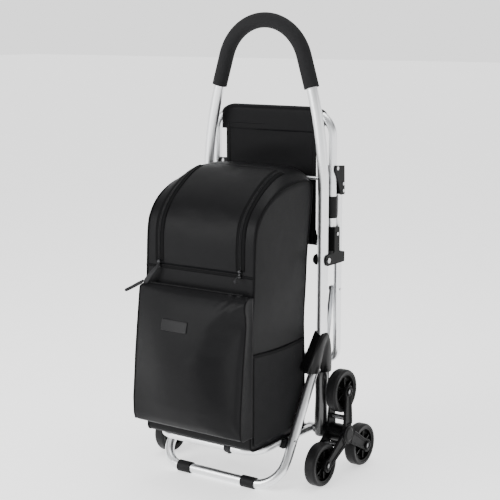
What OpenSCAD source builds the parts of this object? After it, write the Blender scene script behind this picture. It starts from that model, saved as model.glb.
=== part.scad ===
// Folding stair-climbing shopping trolley: tube frame, tri-wheel clusters,
// fold-down sling seat with parallelogram rear legs, and a lift-off bag.
// Millimetres. +X right, -Y the bag side, +Z up, floor at z = 0.

/* [Frame] */
// Half the spacing of the main tubes
frame_half_w = 162; // [158:1:168]
// Outer diameter of the main tube
main_d = 25; // [24:0.5:26]
// Height where the main tubes start to lean in
lean_start_z = 655; // [600:5:700]
// Radius of the long bend into the lean
lean_bend_r = 870; // [840:10:900]
// Lean of the upper tubes from vertical, in degrees
lean_angle = 16.6; // [15.5:0.1:17.5]
// How much less than half the frame's width the top arch's radius is
arch_inset = 49.6; // [46:0.4:54]
// Outer diameter of the foam grip
grip_d = 35; // [31:1:38]
// Outer diameter of the front stand tube
stand_d = 22; // [20:1:23]
// Outer diameter of the platform tube
platform_d = 18; // [16:1:18]
// Length of the platform from the axle to its front tube
platform_len = 235; // [215:5:250]

/* [Wheels] */
// Wheel diameter
wheel_d = 100; // [92:2:104]
// Wheel width
wheel_w = 27.5; // [22:0.5:28]
// Distance from the cluster's axle to each wheel's axle
arm_len = 101.7; // [98:0.5:110]
// Axle shaft diameter
shaft_d = 12; // [10:1:14]

/* [Seat] */
// Height of the seat's pivot
seat_pivot_z = 503; // [495:1:510]
// Height of the seat's top tube
seat_top_z = 835; // [800:5:850]
// Outer diameter of the seat tube
seat_d = 19; // [17:1:19]
// Outer diameter of the rear leg tube
leg_d = 18.5; // [16.5:0.5:18.5]
// Height of the underside of the folded rear legs
leg_bottom_z = 242; // [236:1:250]
// Half width of the sling's panel
sling_half_w = 125; // [110:1:130]

/* [Bag] */
// Width of the bag
bag_w = 289; // [260:1:290]
// Depth of the bag
bag_depth = 230; // [200:5:240]
// Height of the bag's top
bag_top_z = 708; // [660:4:712]
// Height of the seam where the lid hinges
seam_z = 505; // [480:5:520]
// Width of the zipped lid
lid_w = 222; // [190:2:230]
// Thickness of the padded fabric
fabric_t = 2.5; // [2:0.5:3.5]

/* [Hidden] */
$fn = 64;

tube_wall = 1.6;
seat_gap = 0.2;
fit = 0.05;
clear = 0.4;
// Hairline between two lengths of one tube that meet at a slant
joint_gap = 0.005;

// Wheel clusters: two wheels stand on the floor, the third is above the axle
wheel_r = wheel_d / 2;
axle_z = wheel_r + arm_len / 2;
wheel_y = arm_len * cos(30);
wheel_x0 = frame_half_w + 40;
wheel_x1 = wheel_x0 + wheel_w;
plate_t = 5;
inner_plate_x = frame_half_w + 26;
outer_plate_x = wheel_x1 + 1.3;
bolt_d = 8;
hub_d = 44;

// Main tube
main_r = main_d / 2;
arch_r = frame_half_w - arch_inset;
lean_end_x = frame_half_w - lean_bend_r * (1 - cos(lean_angle));
lean_end_z = lean_start_z + lean_bend_r * sin(lean_angle);
lean_len = (lean_end_x - arch_r * cos(lean_angle)) / sin(lean_angle);
arch_z = lean_end_z + lean_len * cos(lean_angle) - arch_r * sin(lean_angle);
grip_below_bend = 0.7;
main_bottom_z = 262;
tie_rod_z = 690;
tie_rod_d = 8;

// Front stand: the corner bends lie in a plane that leans more than the legs
stand_r = stand_d / 2;
stand_y = -191;
stand_z = 12;
foot_d = 27;
foot_len = 36;
foot_x = 90.6;
stand_corner_r = 57;
stand_low_tilt = 42;
stand_tilt = 30.7;
stand_bow_r = 150;
stand_bow_y = stand_y + stand_corner_r * sin(stand_low_tilt);
stand_bow_z = stand_z + stand_corner_r * cos(stand_low_tilt);
stand_leg_y = stand_bow_y + stand_bow_r * (cos(stand_tilt) - cos(stand_low_tilt));
stand_leg_z = stand_bow_z + stand_bow_r * (sin(stand_low_tilt) - sin(stand_tilt));
stand_leg_end_y = -24.5;
stand_leg_len = (stand_leg_end_y - stand_leg_y) / sin(stand_tilt);

// Side brackets: two shells meet on the plane of the tube centres
bracket_half_t = 14;
bracket_x_in = frame_half_w - bracket_half_t;
bracket_x_out = frame_half_w + bracket_half_t + 2;
lower_leg_bottom_z = 92;
rivet_d = 5;

// Platform
platform_r = platform_d / 2;
platform_half_w = bracket_x_in - 1.5 - platform_r;
platform_corner_r = 45;
platform_eye_d = 22;

// Bag, on the platform and in front of the main tubes
bag_half_w = bag_w / 2;
bag_rear_y = -20;
bag_front_y = bag_rear_y - bag_depth;
bag_bottom_z = axle_z + platform_r + 0.5;
bag_front_r = 138;
bag_rear_r = 22;
lid_rear_y = bag_rear_y - 78;
pocket_top_z = 462;
pocket_bottom_z = 140;
pocket_top_y = bag_front_y - 28;
pocket_bottom_y = bag_front_y - 62;
pocket_half_w = bag_half_w - 3;
pocket_zip_w = 240;
side_pocket_z = 326;

// Seat and rear legs, folded up behind the main tubes
seat_x = frame_half_w + 1;
seat_y = 38;
seat_r = seat_d / 2;
seat_bend_r = 54;
seat_tube_bottom_z = 545;
sling_t = 2.6;
panel_t = 2.2;
seat_bar_y = 33.6;
seat_bar_z = 536;
seat_bar_d = 10;
leg_y = 65;
leg_r = leg_d / 2;
leg_pivot_z = 711;
leg_top_z = 690;
leg_bend_r = 31;
stay_top_z = 425;
stay_top_y = leg_y - 2;
stay_dy = seat_y;
stay_dz = leg_pivot_z - seat_pivot_z;
stay_bottom_y = stay_top_y - stay_dy;
stay_bottom_z = stay_top_z - stay_dz;
stay_x = frame_half_w - 14.6;
stay_t = 5;
stay_w = 16;
hinge_plate_t = 3;
hinge_in_x = frame_half_w - main_r - 0.3 - hinge_plate_t;
hinge_out_x = frame_half_w + main_r + 0.3;
leg_plate_in_x = seat_x - seat_r - 3.9;
leg_plate_out_x = seat_x + seat_r + clear;
pin_d = 8;

// The origin is on the floor under the middle of the folded object
front_y = pocket_bottom_y;
rear_y = wheel_y + wheel_r;
mid_y = (front_y + rear_y) / 2;

ALUMINIUM = "silver";
BLACK = [0.08, 0.08, 0.08];
FABRIC = [0.06, 0.06, 0.07];

// ---- helpers ----

module in_place() { translate([0, -mid_y, 0]) children(); }

// Children on the right side, or mirrored to the left
module on_side(side) { mirror([side == "left" ? 1 : 0, 0, 0]) children(); }

module both_sides() {
    children();
    mirror([1, 0, 0]) children();
}

// Round bar along X from x0 to x1
module bar_x(x0, x1, y, z, d) {
    translate([x0, y, z]) rotate([0, 90, 0]) cylinder(h = x1 - x0, d = d);
}

module ring(d, wall) {
    difference() {
        circle(d = d);
        circle(d = d - 2 * wall);
    }
}

// Straight tube along +Z from the local origin
module pipe(len, d, wall = tube_wall) { linear_extrude(len) ring(d, wall); }

// Bent tube in the local XY plane, from +X through angle, about the origin
module pipe_bend(bend_r, angle, d, wall = tube_wall) {
    rotate_extrude(angle = angle, $fn = 96) translate([bend_r, 0]) ring(d, wall);
}

// Local XY to the XZ plane
module upright() { rotate([90, 0, 0]) children(); }

// Outline drawn in (y, z), extruded along X from x0 to x1
module side_plate(x0, x1, outline) {
    translate([x0, 0, 0]) rotate([90, 0, 90]) linear_extrude(x1 - x0) polygon(rounded(outline));
}

// Corner points [u, v, radius] to an outline with each corner as an arc
function unit(v) = v / norm(v);
function corner_arc(a, p, b) =
    let (u = unit([a[0] - p[0], a[1] - p[1]]),
         w = unit([b[0] - p[0], b[1] - p[1]]),
         half = acos(u * w) / 2,
         centre = [p[0], p[1]] + unit(u + w) * p[2] / sin(half),
         from = [p[0], p[1]] + u * p[2] / tan(half) - centre,
         turn = sign(cross(u, w)) * -(180 - 2 * half),
         steps = max(2, ceil(abs(turn) / 15)))
    [for (i = [0 : steps])
        let (t = turn * i / steps)
        centre + [from[0] * cos(t) - from[1] * sin(t), from[0] * sin(t) + from[1] * cos(t)]];
function rounded(pts) =
    let (n = len(pts))
    [for (i = [0 : n - 1], q = corner_arc(pts[(i + n - 1) % n], pts[i], pts[(i + 1) % n])) q];

module rivet(x0, x1, y, z, d = rivet_d - 0.2) {
    bar_x(x0, x1, y, z, d);
    bar_x(x0 - 1.6, x0, y, z, d + 3);
    bar_x(x1, x1 + 1.6, y, z, d + 3);
}

// ---- main frame ----

module lean_bend(angle, d, wall, from = 0) {
    translate([frame_half_w - lean_bend_r, 0, lean_start_z]) upright() rotate([0, 0, from])
        pipe_bend(lean_bend_r, angle, d, wall);
}

module arch(d, wall) {
    translate([0, 0, arch_z]) upright() rotate([0, 0, lean_angle])
        pipe_bend(arch_r, 180 - 2 * lean_angle, d, wall);
}

module lean_straight(d, wall) {
    translate([lean_end_x, 0, lean_end_z]) rotate([0, -lean_angle, 0]) pipe(lean_len, d, wall);
}

module handle_tube() color(ALUMINIUM) in_place() difference() {
    union() {
        arch(main_d, tube_wall);
        both_sides() {
            lean_straight(main_d, tube_wall);
            lean_bend(lean_angle, main_d, tube_wall);
            translate([frame_half_w, 0, main_bottom_z]) pipe(lean_start_z - main_bottom_z, main_d);
        }
    }
    bar_x(-frame_half_w - main_d, frame_half_w + main_d, 0, seat_pivot_z, pin_d + 2 * fit);
    bar_x(-frame_half_w, frame_half_w, 0, tie_rod_z, tie_rod_d + 2 * fit);
    bracket_rivet_hole(main_rivet);
}

module handle_grip() color(BLACK) in_place() {
    wall = (grip_d - main_d) / 2 - 0.1;
    arch(grip_d, wall);
    both_sides() {
        lean_straight(grip_d, wall);
        lean_bend(grip_below_bend, grip_d, wall, from = lean_angle - grip_below_bend);
    }
}

module tie_rod() color(ALUMINIUM) in_place() {
    reach = frame_half_w - main_r + tube_wall;
    bar_x(-reach, reach, 0, tie_rod_z, tie_rod_d);
}

// ---- side brackets and lower legs ----

bracket_outline = [[-9, 336, 6], [-44, 292, 40], [-70, 264, 6], [-66, 254, 5],
                   [22, 234, 6], [23, 290, 30], [9, 336, 6]];

// Places of the bracket's rivets, as [y, z]
stand_rivet = [-32, 252];
main_rivet = [0, 300];

module bracket_rivet_hole(at) {
    bar_x(-frame_half_w - 30, frame_half_w + 30, at[0], at[1], rivet_d);
}

module bracket_bores() {
    translate([frame_half_w, 0, 0]) cylinder(h = 400, d = main_d + 2 * fit);
    translate([frame_half_w, stand_leg_y, stand_leg_z]) rotate([-stand_tilt, 0, 0])
        cylinder(h = stand_leg_len + 1, d = stand_d + 2 * fit);
    bracket_rivet_hole(stand_rivet);
    bracket_rivet_hole(main_rivet);
}

module bracket_outer(side) color(BLACK) in_place() on_side(side) difference() {
    union() {
        side_plate(frame_half_w, bracket_x_out - 2, bracket_outline);
        side_plate(bracket_x_out - 2, bracket_x_out,
                   [[-5, 329, 6], [-38, 288, 40], [-60, 262, 5], [15, 243, 6], [16, 290, 30], [5, 329, 5]]);
    }
    bracket_bores();
}

// The inner shell stops short of the stay, and carries the lug that the stay turns on
module bracket_inner(side) color(BLACK) in_place() on_side(side) difference() {
    union() {
        side_plate(bracket_x_in, frame_half_w,
                   [[-9, 336, 6], [-44, 292, 40], [-70, 264, 6], [-66, 254, 5],
                    [13.5, 234, 3], [13.5, 336, 6]]);
        side_plate(stay_x + stay_t + 1, frame_half_w,
                   [[13, 250, 2], [stay_bottom_y + 9, 240, 4],
                    [stay_bottom_y + 9, stay_bottom_z - 9, 8],
                    [13.2, stay_bottom_z - 9, 4]]);
    }
    bracket_bores();
    bar_x(0, 300, stay_bottom_y, stay_bottom_z, 6 + 2 * fit);
}

module lower_leg(side) color(BLACK) in_place() on_side(side) difference() {
    translate([frame_half_w, 0, 0]) union() {
        translate([0, 0, lower_leg_bottom_z]) pipe(main_bottom_z - lower_leg_bottom_z, main_d);
        translate([0, 0, main_bottom_z - 4]) pipe(4, main_d, tube_wall + 2);
        translate([0, 0, main_bottom_z - 2]) pipe(42, main_d - 2 * tube_wall - 0.1);
    }
    bar_x(0, 300, 0, axle_z, shaft_d + 2 * fit);
    bracket_rivet_hole(main_rivet);
}

module lower_leg_caps() color(BLACK) in_place() both_sides()
    translate([frame_half_w, 0, lower_leg_bottom_z]) {
        translate([0, 0, -3.5]) cylinder(h = 3.5, d = main_d + 1);
        translate([0, 0, -7.5]) cylinder(h = 4, d1 = main_d - 6, d2 = main_d + 1);
        translate([0, 0, -9]) cylinder(h = 1.5, d1 = main_d - 14, d2 = main_d - 6);
    }

module axle_shaft() color(ALUMINIUM) in_place()
    bar_x(-outer_plate_x - 2, outer_plate_x + 2, 0, axle_z, shaft_d);

// ---- front stand ----

module stand_path(d, wall) {
    straight = frame_half_w - stand_corner_r;
    translate([joint_gap - straight, stand_y, stand_z]) rotate([0, 90, 0])
        pipe(2 * (straight - joint_gap), d, wall);
    both_sides() {
        translate([straight, stand_y, stand_z]) rotate([90 - stand_low_tilt, 0, 0])
            translate([0, stand_corner_r, 0]) rotate([0, 0, -90])
            pipe_bend(stand_corner_r, 90, d, wall);
        translate([frame_half_w, stand_bow_y + stand_bow_r * -cos(stand_low_tilt),
                   stand_bow_z + stand_bow_r * sin(stand_low_tilt)])
            rotate([90, 0, 90]) rotate([0, 0, joint_gap - stand_low_tilt])
            pipe_bend(stand_bow_r, stand_low_tilt - stand_tilt - 2 * joint_gap, d, wall);
        translate([frame_half_w, stand_leg_y, stand_leg_z]) rotate([-stand_tilt, 0, 0])
            pipe(stand_leg_len, d, wall);
    }
}

module front_stand() color(ALUMINIUM) in_place() difference() {
    stand_path(stand_d, tube_wall);
    bracket_rivet_hole(stand_rivet);
}

module foot_sleeve(side) color(BLACK) in_place() on_side(side) difference() {
    bar_x(foot_x - foot_len / 2, foot_x + foot_len / 2, stand_y, stand_z, foot_d);
    bar_x(0, 200, stand_y, stand_z, stand_d + 2 * fit);
    translate([0, stand_y - 50, -20]) cube([200, 100, 20]);
}

// A collar on the stand leg with a cradle under the platform's side tube
clip_z = axle_z - 1;
clip_y = stand_leg_y + (clip_z - stand_leg_z) * tan(stand_tilt);
module stand_clips() color(BLACK) in_place() both_sides() difference() {
    union() {
        translate([frame_half_w, clip_y, clip_z]) rotate([-stand_tilt, 0, 0])
            translate([0, 0, -11]) cylinder(h = 22, d = stand_d + 5);
        side_plate(platform_half_w - platform_r, frame_half_w,
                   [[clip_y - 20, clip_z + 2, 3], [clip_y + 14, clip_z + 2, 3],
                    [clip_y + 12, clip_z - 14, 4], [clip_y - 18, clip_z - 14, 4]]);
    }
    translate([frame_half_w, stand_leg_y, stand_leg_z]) rotate([-stand_tilt, 0, 0])
        cylinder(h = stand_leg_len, d = stand_d + 2 * fit);
    translate([platform_half_w, 0, axle_z]) rotate([90, 0, 0])
        cylinder(h = 300, r = platform_r + clear);
    translate([platform_half_w - 20, -300, axle_z]) cube([20 + platform_r + clear, 300, 30]);
}

module frame_rivets() color(ALUMINIUM) in_place() both_sides() {
    for (at = [stand_rivet, main_rivet]) rivet(bracket_x_in, bracket_x_out, at[0], at[1]);
}

// The seat turns on the upper pins and the stays on the lower ones
module pivot_pins() color(ALUMINIUM) in_place() both_sides() {
    bar_x(hinge_in_x - 0.4, hinge_out_x + hinge_plate_t + 0.3, 0, seat_pivot_z, pin_d);
    bar_x(hinge_in_x - 4, hinge_in_x - 0.4, 0, seat_pivot_z, 22);
    bar_x(hinge_out_x + hinge_plate_t + 0.3, hinge_out_x + hinge_plate_t + 2.3, 0, seat_pivot_z, 12);
    bar_x(stay_x - 0.4, frame_half_w - 0.5, stay_bottom_y, stay_bottom_z, 6);
    bar_x(stay_x - 2.4, stay_x - 0.4, stay_bottom_y, stay_bottom_z, 11);
}

// ---- platform ----

module platform_loop() color(ALUMINIUM) in_place() difference() {
    union() {
        straight = platform_half_w - platform_corner_r;
        translate([-straight, -platform_len, axle_z]) rotate([0, 90, 0])
            pipe(2 * straight, platform_d);
        both_sides() {
            translate([straight, -platform_len + platform_corner_r, axle_z]) rotate([0, 0, -90])
                pipe_bend(platform_corner_r, 90, platform_d);
            translate([platform_half_w, -platform_eye_d / 2 + 2, axle_z]) rotate([90, 0, 0])
                pipe(platform_len - platform_corner_r - platform_eye_d / 2 + 2, platform_d);
            bar_x(platform_half_w - platform_r, platform_half_w + platform_r, 0, axle_z, platform_eye_d);
        }
    }
    bar_x(-200, 200, 0, axle_z, shaft_d + 2 * fit);
}

// ---- bag ----

// Side outline of the bag, inset by t all round
function bag_side(t) = [
    [bag_front_y + t, bag_bottom_z + t, 8],
    [bag_rear_y - t, bag_bottom_z + t, 8],
    [bag_rear_y - t, bag_top_z - t, bag_rear_r - t],
    [bag_front_y + t, bag_top_z - t, bag_front_r - t]];

module bag_shell() difference() {
    side_plate(-bag_half_w, bag_half_w, bag_side(0));
    side_plate(-bag_half_w + fabric_t, bag_half_w - fabric_t, bag_side(fabric_t));
}

// Everything the lid covers, from its seam over the front curve to its rear edge
module lid_region(gap) {
    translate([-lid_w / 2 - gap, bag_front_y - 20, seam_z - gap])
        cube([lid_w + 2 * gap, lid_rear_y + gap - (bag_front_y - 20), 300]);
}

module bag_body() color(FABRIC) in_place() difference() {
    bag_shell();
    lid_region(0.6);
}

module bag_lid() color(FABRIC) in_place() intersection() {
    bag_shell();
    lid_region(0);
}

// Side outline of the front pocket, inset by t: it fills out towards its bottom
function pocket_side(t) = [
    [bag_front_y - 0.3 - t, pocket_top_z - t, 1.5], [pocket_top_y + t, pocket_top_z - 4 - t, 10 - t],
    [pocket_bottom_y + t, pocket_bottom_z + 80, 60], [pocket_bottom_y + t, pocket_bottom_z + 8 + t, 20 - t],
    [bag_front_y - 0.3 - t, pocket_bottom_z + t, 1.5]];

// The pocket opens along its top
module bag_pocket() color(FABRIC) in_place() difference() {
    side_plate(-pocket_half_w, pocket_half_w, pocket_side(0));
    side_plate(-pocket_half_w + fabric_t, pocket_half_w - fabric_t, pocket_side(fabric_t));
    translate([-pocket_zip_w / 2, (bag_front_y + pocket_top_y) / 2 - 4, pocket_top_z - 20])
        cube([pocket_zip_w, 8, 40]);
}

module side_pockets() color(FABRIC) in_place() both_sides()
    side_plate(bag_half_w + 0.1, bag_half_w + 1.6,
               [[bag_front_y + 4, bag_bottom_z + 8, 3], [bag_rear_y - 12, bag_bottom_z + 8, 3],
                [bag_rear_y - 12, side_pocket_z, 3], [bag_front_y + 4, side_pocket_z, 3]]);

module bag_base_board() color(BLACK) in_place()
    translate([-bag_half_w + fabric_t + 2, bag_front_y + fabric_t + 9, bag_bottom_z + fabric_t + 0.1])
    cube([bag_w - 2 * fabric_t - 4, bag_depth - 2 * fabric_t - 18, 3]);

// Two open hooks hang the bag on the tie rod
module bag_hooks() color(BLACK) in_place() both_sides() {
    hook_in = tie_rod_d / 2 + 0.4;
    hook_out = hook_in + 3;
    translate([50, 0, tie_rod_z]) rotate([90, 0, 90]) linear_extrude(18) {
        difference() {
            circle(r = hook_out);
            circle(r = hook_in);
            translate([-20, -40]) square([40, 40]);
        }
        translate([-hook_out, -4]) square([3, 4]);
        translate([bag_rear_y + 0.1, -7]) square([-bag_rear_y - hook_out - 0.1 + 3, 3]);
        translate([bag_rear_y + 0.1, -40]) square([3, 36]);
    }
}

module zip_pulls() color(BLACK) in_place() both_sides() {
    translate([lid_w / 2 + 1, bag_front_y - 3.2, seam_z + 1]) cube([5, 3, 10]);
    translate([lid_w / 2 + 2, bag_front_y - 2.2, seam_z - 28]) cube([3, 1.6, 30]);
}

module label_patch() color([0.1, 0.1, 0.1]) in_place() {
    slope = atan((pocket_top_y - pocket_bottom_y) / (pocket_top_z - pocket_bottom_z - 84));
    below_top = 101;
    translate([-81, pocket_top_y - below_top * tan(slope), pocket_top_z - 4 - below_top])
        rotate([-slope, 0, 0]) translate([0, -1.3, 0]) cube([76, 1.2, 26]);
}

// ---- seat ----

module seat_top(d, wall, angle) {
    straight = seat_x - seat_bend_r;
    translate([-straight, seat_y, seat_top_z]) rotate([0, 90, 0]) pipe(2 * straight, d, wall);
    both_sides() translate([straight, seat_y, seat_top_z - seat_bend_r]) upright()
        rotate([0, 0, 90 - angle]) pipe_bend(seat_bend_r, angle, d, wall);
}

module seat_frame() color(ALUMINIUM) in_place() difference() {
    union() {
        seat_top(seat_d, tube_wall, 90);
        both_sides() translate([seat_x, seat_y, seat_tube_bottom_z])
            pipe(seat_top_z - seat_bend_r - seat_tube_bottom_z, seat_d);
    }
    bar_x(-200, 200, seat_y, leg_pivot_z, 6 + 2 * fit);
    bar_x(-200, 200, seat_y, 560, rivet_d);
}

module seat_bar() color(ALUMINIUM) in_place()
    bar_x(-hinge_in_x - 1, hinge_in_x + 1, seat_bar_y, seat_bar_z, seat_bar_d);

// The sling hangs from a sleeve on the top tube and wraps the lower bar
module seat_sling() color(FABRIC) in_place() {
    panel_y = seat_y - seat_r - seat_gap - (sling_t + panel_t) / 2;
    sleeve_w = 2 * (seat_x - seat_bend_r);
    translate([-sleeve_w / 2, seat_y, seat_top_z]) rotate([0, 90, 0])
        pipe(sleeve_w, seat_d + 2 * sling_t + 2 * seat_gap, sling_t);
    translate([-sling_half_w, panel_y, seat_bar_z]) cube([2 * sling_half_w, panel_t, seat_top_z - seat_bar_z]);
    translate([-sling_half_w, seat_bar_y, seat_bar_z]) rotate([0, 90, 0])
        pipe(2 * sling_half_w, seat_bar_d + 2 * sling_t + 2 * seat_gap, sling_t);
}

module seat_sleeves() color(BLACK) in_place() both_sides()
    translate([seat_x, seat_y, 596]) pipe(50, seat_d + 3.4, 1.6);

// Two plates straddle the main tube, the seat tube and, when folded, the rear leg
hinge_outline = [[-13, seat_pivot_z - 13, 12.5], [leg_y + 6, seat_pivot_z - 12, 3],
                 [leg_y + 6, seat_pivot_z + 12, 3], [49, seat_pivot_z + 15, 4],
                 [48, 576, 4], [26, 576, 4], [26, seat_pivot_z + 14, 5],
                 [-13, seat_pivot_z + 13, 12.5]];
module hinge_bracket(side) color(BLACK) in_place() on_side(side) difference() {
    union() {
        side_plate(hinge_in_x, hinge_in_x + hinge_plate_t, hinge_outline);
        side_plate(hinge_out_x, hinge_out_x + hinge_plate_t, hinge_outline);
        side_plate(hinge_in_x, hinge_out_x + hinge_plate_t,
                   [[26, seat_pivot_z + 17, 2], [48, seat_pivot_z + 17, 2], [48, 576, 3], [26, 576, 3]]);
    }
    translate([seat_x, seat_y, seat_tube_bottom_z - 0.2]) cylinder(h = 60, d = seat_d + 2 * fit);
    bar_x(0, 300, 0, seat_pivot_z, pin_d + 2 * fit);
    bar_x(0, 300, seat_y, 560, rivet_d);
    bar_x(0, hinge_in_x + 1.2, seat_bar_y, seat_bar_z, seat_bar_d + 2 * fit);
}

module seat_rivets() color(ALUMINIUM) in_place() both_sides()
    rivet(hinge_in_x, hinge_out_x + hinge_plate_t, seat_y, 560);

// ---- rear legs and stays ----

module rear_leg_frame() color(ALUMINIUM) in_place() difference() {
    union() {
        straight = seat_x - leg_bend_r;
        low_z = leg_bottom_z + leg_r;
        translate([-straight, leg_y, low_z]) rotate([0, 90, 0]) pipe(2 * straight, leg_d);
        both_sides() {
            translate([straight, leg_y, low_z + leg_bend_r]) upright() rotate([0, 0, -90])
                pipe_bend(leg_bend_r, 90, leg_d);
            translate([seat_x, leg_y, low_z + leg_bend_r]) pipe(leg_top_z - low_z - leg_bend_r, leg_d);
        }
    }
    for (z = [657, 673]) bar_x(-200, 200, leg_y, z, rivet_d);
    bar_x(-200, 200, stay_top_y, stay_top_z, 6 + 2 * fit);
}

leg_bracket_outline = [[29, 718, 6], [70, 715, 3], [72, 648, 3], [55, 648, 5], [38, 690, 40], [28, 704, 6]];
module leg_bracket(side) color(BLACK) in_place() on_side(side) difference() {
    union() {
        side_plate(leg_plate_in_x, leg_plate_in_x + 3, leg_bracket_outline);
        side_plate(leg_plate_out_x, leg_plate_out_x + 3, leg_bracket_outline);
        translate([leg_plate_in_x, leg_y - 13, 650])
            cube([leg_plate_out_x + 3 - leg_plate_in_x, 4, 34]);
    }
    translate([seat_x, leg_y, 600]) cylinder(h = 91, d = leg_d + 2 * fit);
    for (z = [657, 673]) bar_x(0, 300, leg_y, z, rivet_d);
    bar_x(0, 300, seat_y, leg_pivot_z, 6 + 2 * fit);
}

// Leg rivets, the pins that the legs fold on, and the pins at the tops of the stays
module leg_rivets() color(ALUMINIUM) in_place() both_sides() {
    for (z = [657, 673]) rivet(leg_plate_in_x, leg_plate_out_x + 3, leg_y, z);
    rivet(leg_plate_in_x - 0.1, leg_plate_out_x + 3.1, seat_y, leg_pivot_z, 6);
    bar_x(stay_x - 0.5, seat_x + leg_r + 0.5, stay_top_y, stay_top_z, 6);
    bar_x(stay_x - 3.5, stay_x - 0.5, stay_top_y, stay_top_z, 12);
}

// The stay's top hole is open: it has extra clearance on its pin
module stay(side) color(ALUMINIUM) in_place() on_side(side) {
    lean = atan(stay_dy / stay_dz);
    len = norm([stay_dy, stay_dz]);
    translate([stay_x, stay_bottom_y, stay_bottom_z]) rotate([-lean, 0, 0]) difference() {
        side_plate(0, stay_t, [[-stay_w / 2, -8, 7.9], [stay_w / 2, -8, 7.9],
                               [stay_w / 2, len + 8, 7.9], [-stay_w / 2, len + 8, 7.9]]);
        bar_x(-1, stay_t + 1, 0, 0, 6 + 2 * fit);
        bar_x(-1, stay_t + 1, 0, len, 6 + 2 * clear);
    }
}

// ---- wheel clusters ----

module three_arms() for (a = [90, 210, 330]) rotate([0, 0, a]) children();

// Local XY is the (y, z) plane about the axle, local Z points outwards
module at_axle(x) { translate([x, 0, axle_z]) rotate([90, 0, 90]) children(); }

module arm_plate(t, root_w, tip_d) {
    linear_extrude(t) three_arms() {
        polygon([[0, -root_w / 2], [arm_len, -tip_d * 0.3], [arm_len, tip_d * 0.3], [0, root_w / 2]]);
        translate([arm_len, 0]) circle(d = tip_d);
    }
    linear_extrude(t) circle(d = hub_d);
}

module carrier_outer(side) color(BLACK) in_place() on_side(side) difference() {
    at_axle(outer_plate_x) union() {
        arm_plate(plate_t, 34, 30);
        translate([0, 0, plate_t]) linear_extrude(1.5) three_arms() for (s = [-1, 1])
            polygon([[hub_d / 2, s * 12], [arm_len - 12, s * 8], [arm_len - 12, s * 6], [hub_d / 2, s * 9]]);
    }
    at_axle(0) cylinder(h = 300, d = shaft_d + 2 * fit);
    at_axle(0) three_arms() translate([arm_len, 0, 0]) cylinder(h = 300, d = bolt_d + 2 * fit);
}

module carrier_inner(side) color(BLACK) in_place() on_side(side) difference() {
    at_axle(inner_plate_x) union() {
        arm_plate(plate_t, 34, 26);
        translate([0, 0, -10]) cylinder(h = outer_plate_x - inner_plate_x + 10 - 0.1, d = hub_d - 4);
        three_arms() rotate([0, 0, 60]) translate([hub_d / 2 - 6, -4, plate_t - 1])
            cube([8, 8, outer_plate_x - inner_plate_x - plate_t - 3]);
    }
    at_axle(0) cylinder(h = 300, d = shaft_d + 2 * fit);
    at_axle(0) three_arms() translate([arm_len, 0, 0]) cylinder(h = 300, d = bolt_d + 2 * fit);
    at_axle(0) three_arms() translate([38, 0, 0]) cylinder(h = 300, d = bolt_d);
}

// Wheel bolts, and the spacer rods between the two plates
module cluster_bolts(side) color(ALUMINIUM) in_place() on_side(side) {
    at_axle(0) three_arms() {
        translate([arm_len, 0, inner_plate_x - 3]) cylinder(h = outer_plate_x + plate_t + 4 - inner_plate_x, d = bolt_d);
        translate([arm_len, 0, inner_plate_x - 6]) cylinder(h = 5.8, d = 14, $fn = 6);
        translate([arm_len, 0, outer_plate_x + plate_t + 0.1]) cylinder(h = 2.5, d = 12);
        translate([38, 0, inner_plate_x + plate_t + 0.1])
            cylinder(h = outer_plate_x - inner_plate_x - plate_t - 0.2, d = 12);
    }
}

module hub_cap(side) color(BLACK) in_place() on_side(side) at_axle(outer_plate_x + plate_t + 0.1) {
    cylinder(h = 2.5, d = hub_d - 2);
    translate([0, 0, 2.5]) cylinder(h = 2.5, d1 = hub_d - 4, d2 = hub_d - 18);
}

// Wheels: index 0 is above the axle, then front and rear on the floor
function wheel_angle(place) = place == "top" ? 90 : place == "front" ? 210 : 330;

module at_wheel(side, place) in_place() on_side(side) at_axle(wheel_x0)
    rotate([0, 0, wheel_angle(place)]) translate([arm_len, 0, 0]) children();

tread_t = 9;
module tyre(side, place) color([0.12, 0.12, 0.12]) at_wheel(side, place)
    rotate_extrude($fn = 96) translate([wheel_r, 0]) polygon(rounded([
        [-tread_t, 1, 0.5], [-2.5, 0, 2], [0, 5, 3], [0, wheel_w - 5, 3],
        [-2.5, wheel_w, 2], [-tread_t, wheel_w - 1, 0.5]]));

module rim(side, place) color(BLACK) at_wheel(side, place) difference() {
    union() {
        rotate_extrude($fn = 96) polygon([[wheel_r - tread_t - 4, 2], [wheel_r - tread_t - 0.1, 2],
            [wheel_r - tread_t - 0.1, wheel_w - 2], [wheel_r - tread_t - 4, wheel_w - 2]]);
        translate([0, 0, wheel_w / 2 - 3]) cylinder(r = wheel_r - tread_t - 3, h = 6);
        translate([0, 0, 0.5]) cylinder(d = 20, h = wheel_w - 1);
        for (a = [0 : 60 : 300]) rotate([0, 0, a]) translate([8, -1.5, 4]) cube([24, 3, wheel_w - 8]);
    }
    translate([0, 0, -1]) cylinder(d = bolt_d + 2 * fit, h = wheel_w + 2);
    for (a = [30 : 60 : 330]) rotate([0, 0, a]) translate([23, 0, 0]) cylinder(d = 11, h = wheel_w);
}

// ---- nodes ----

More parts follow.
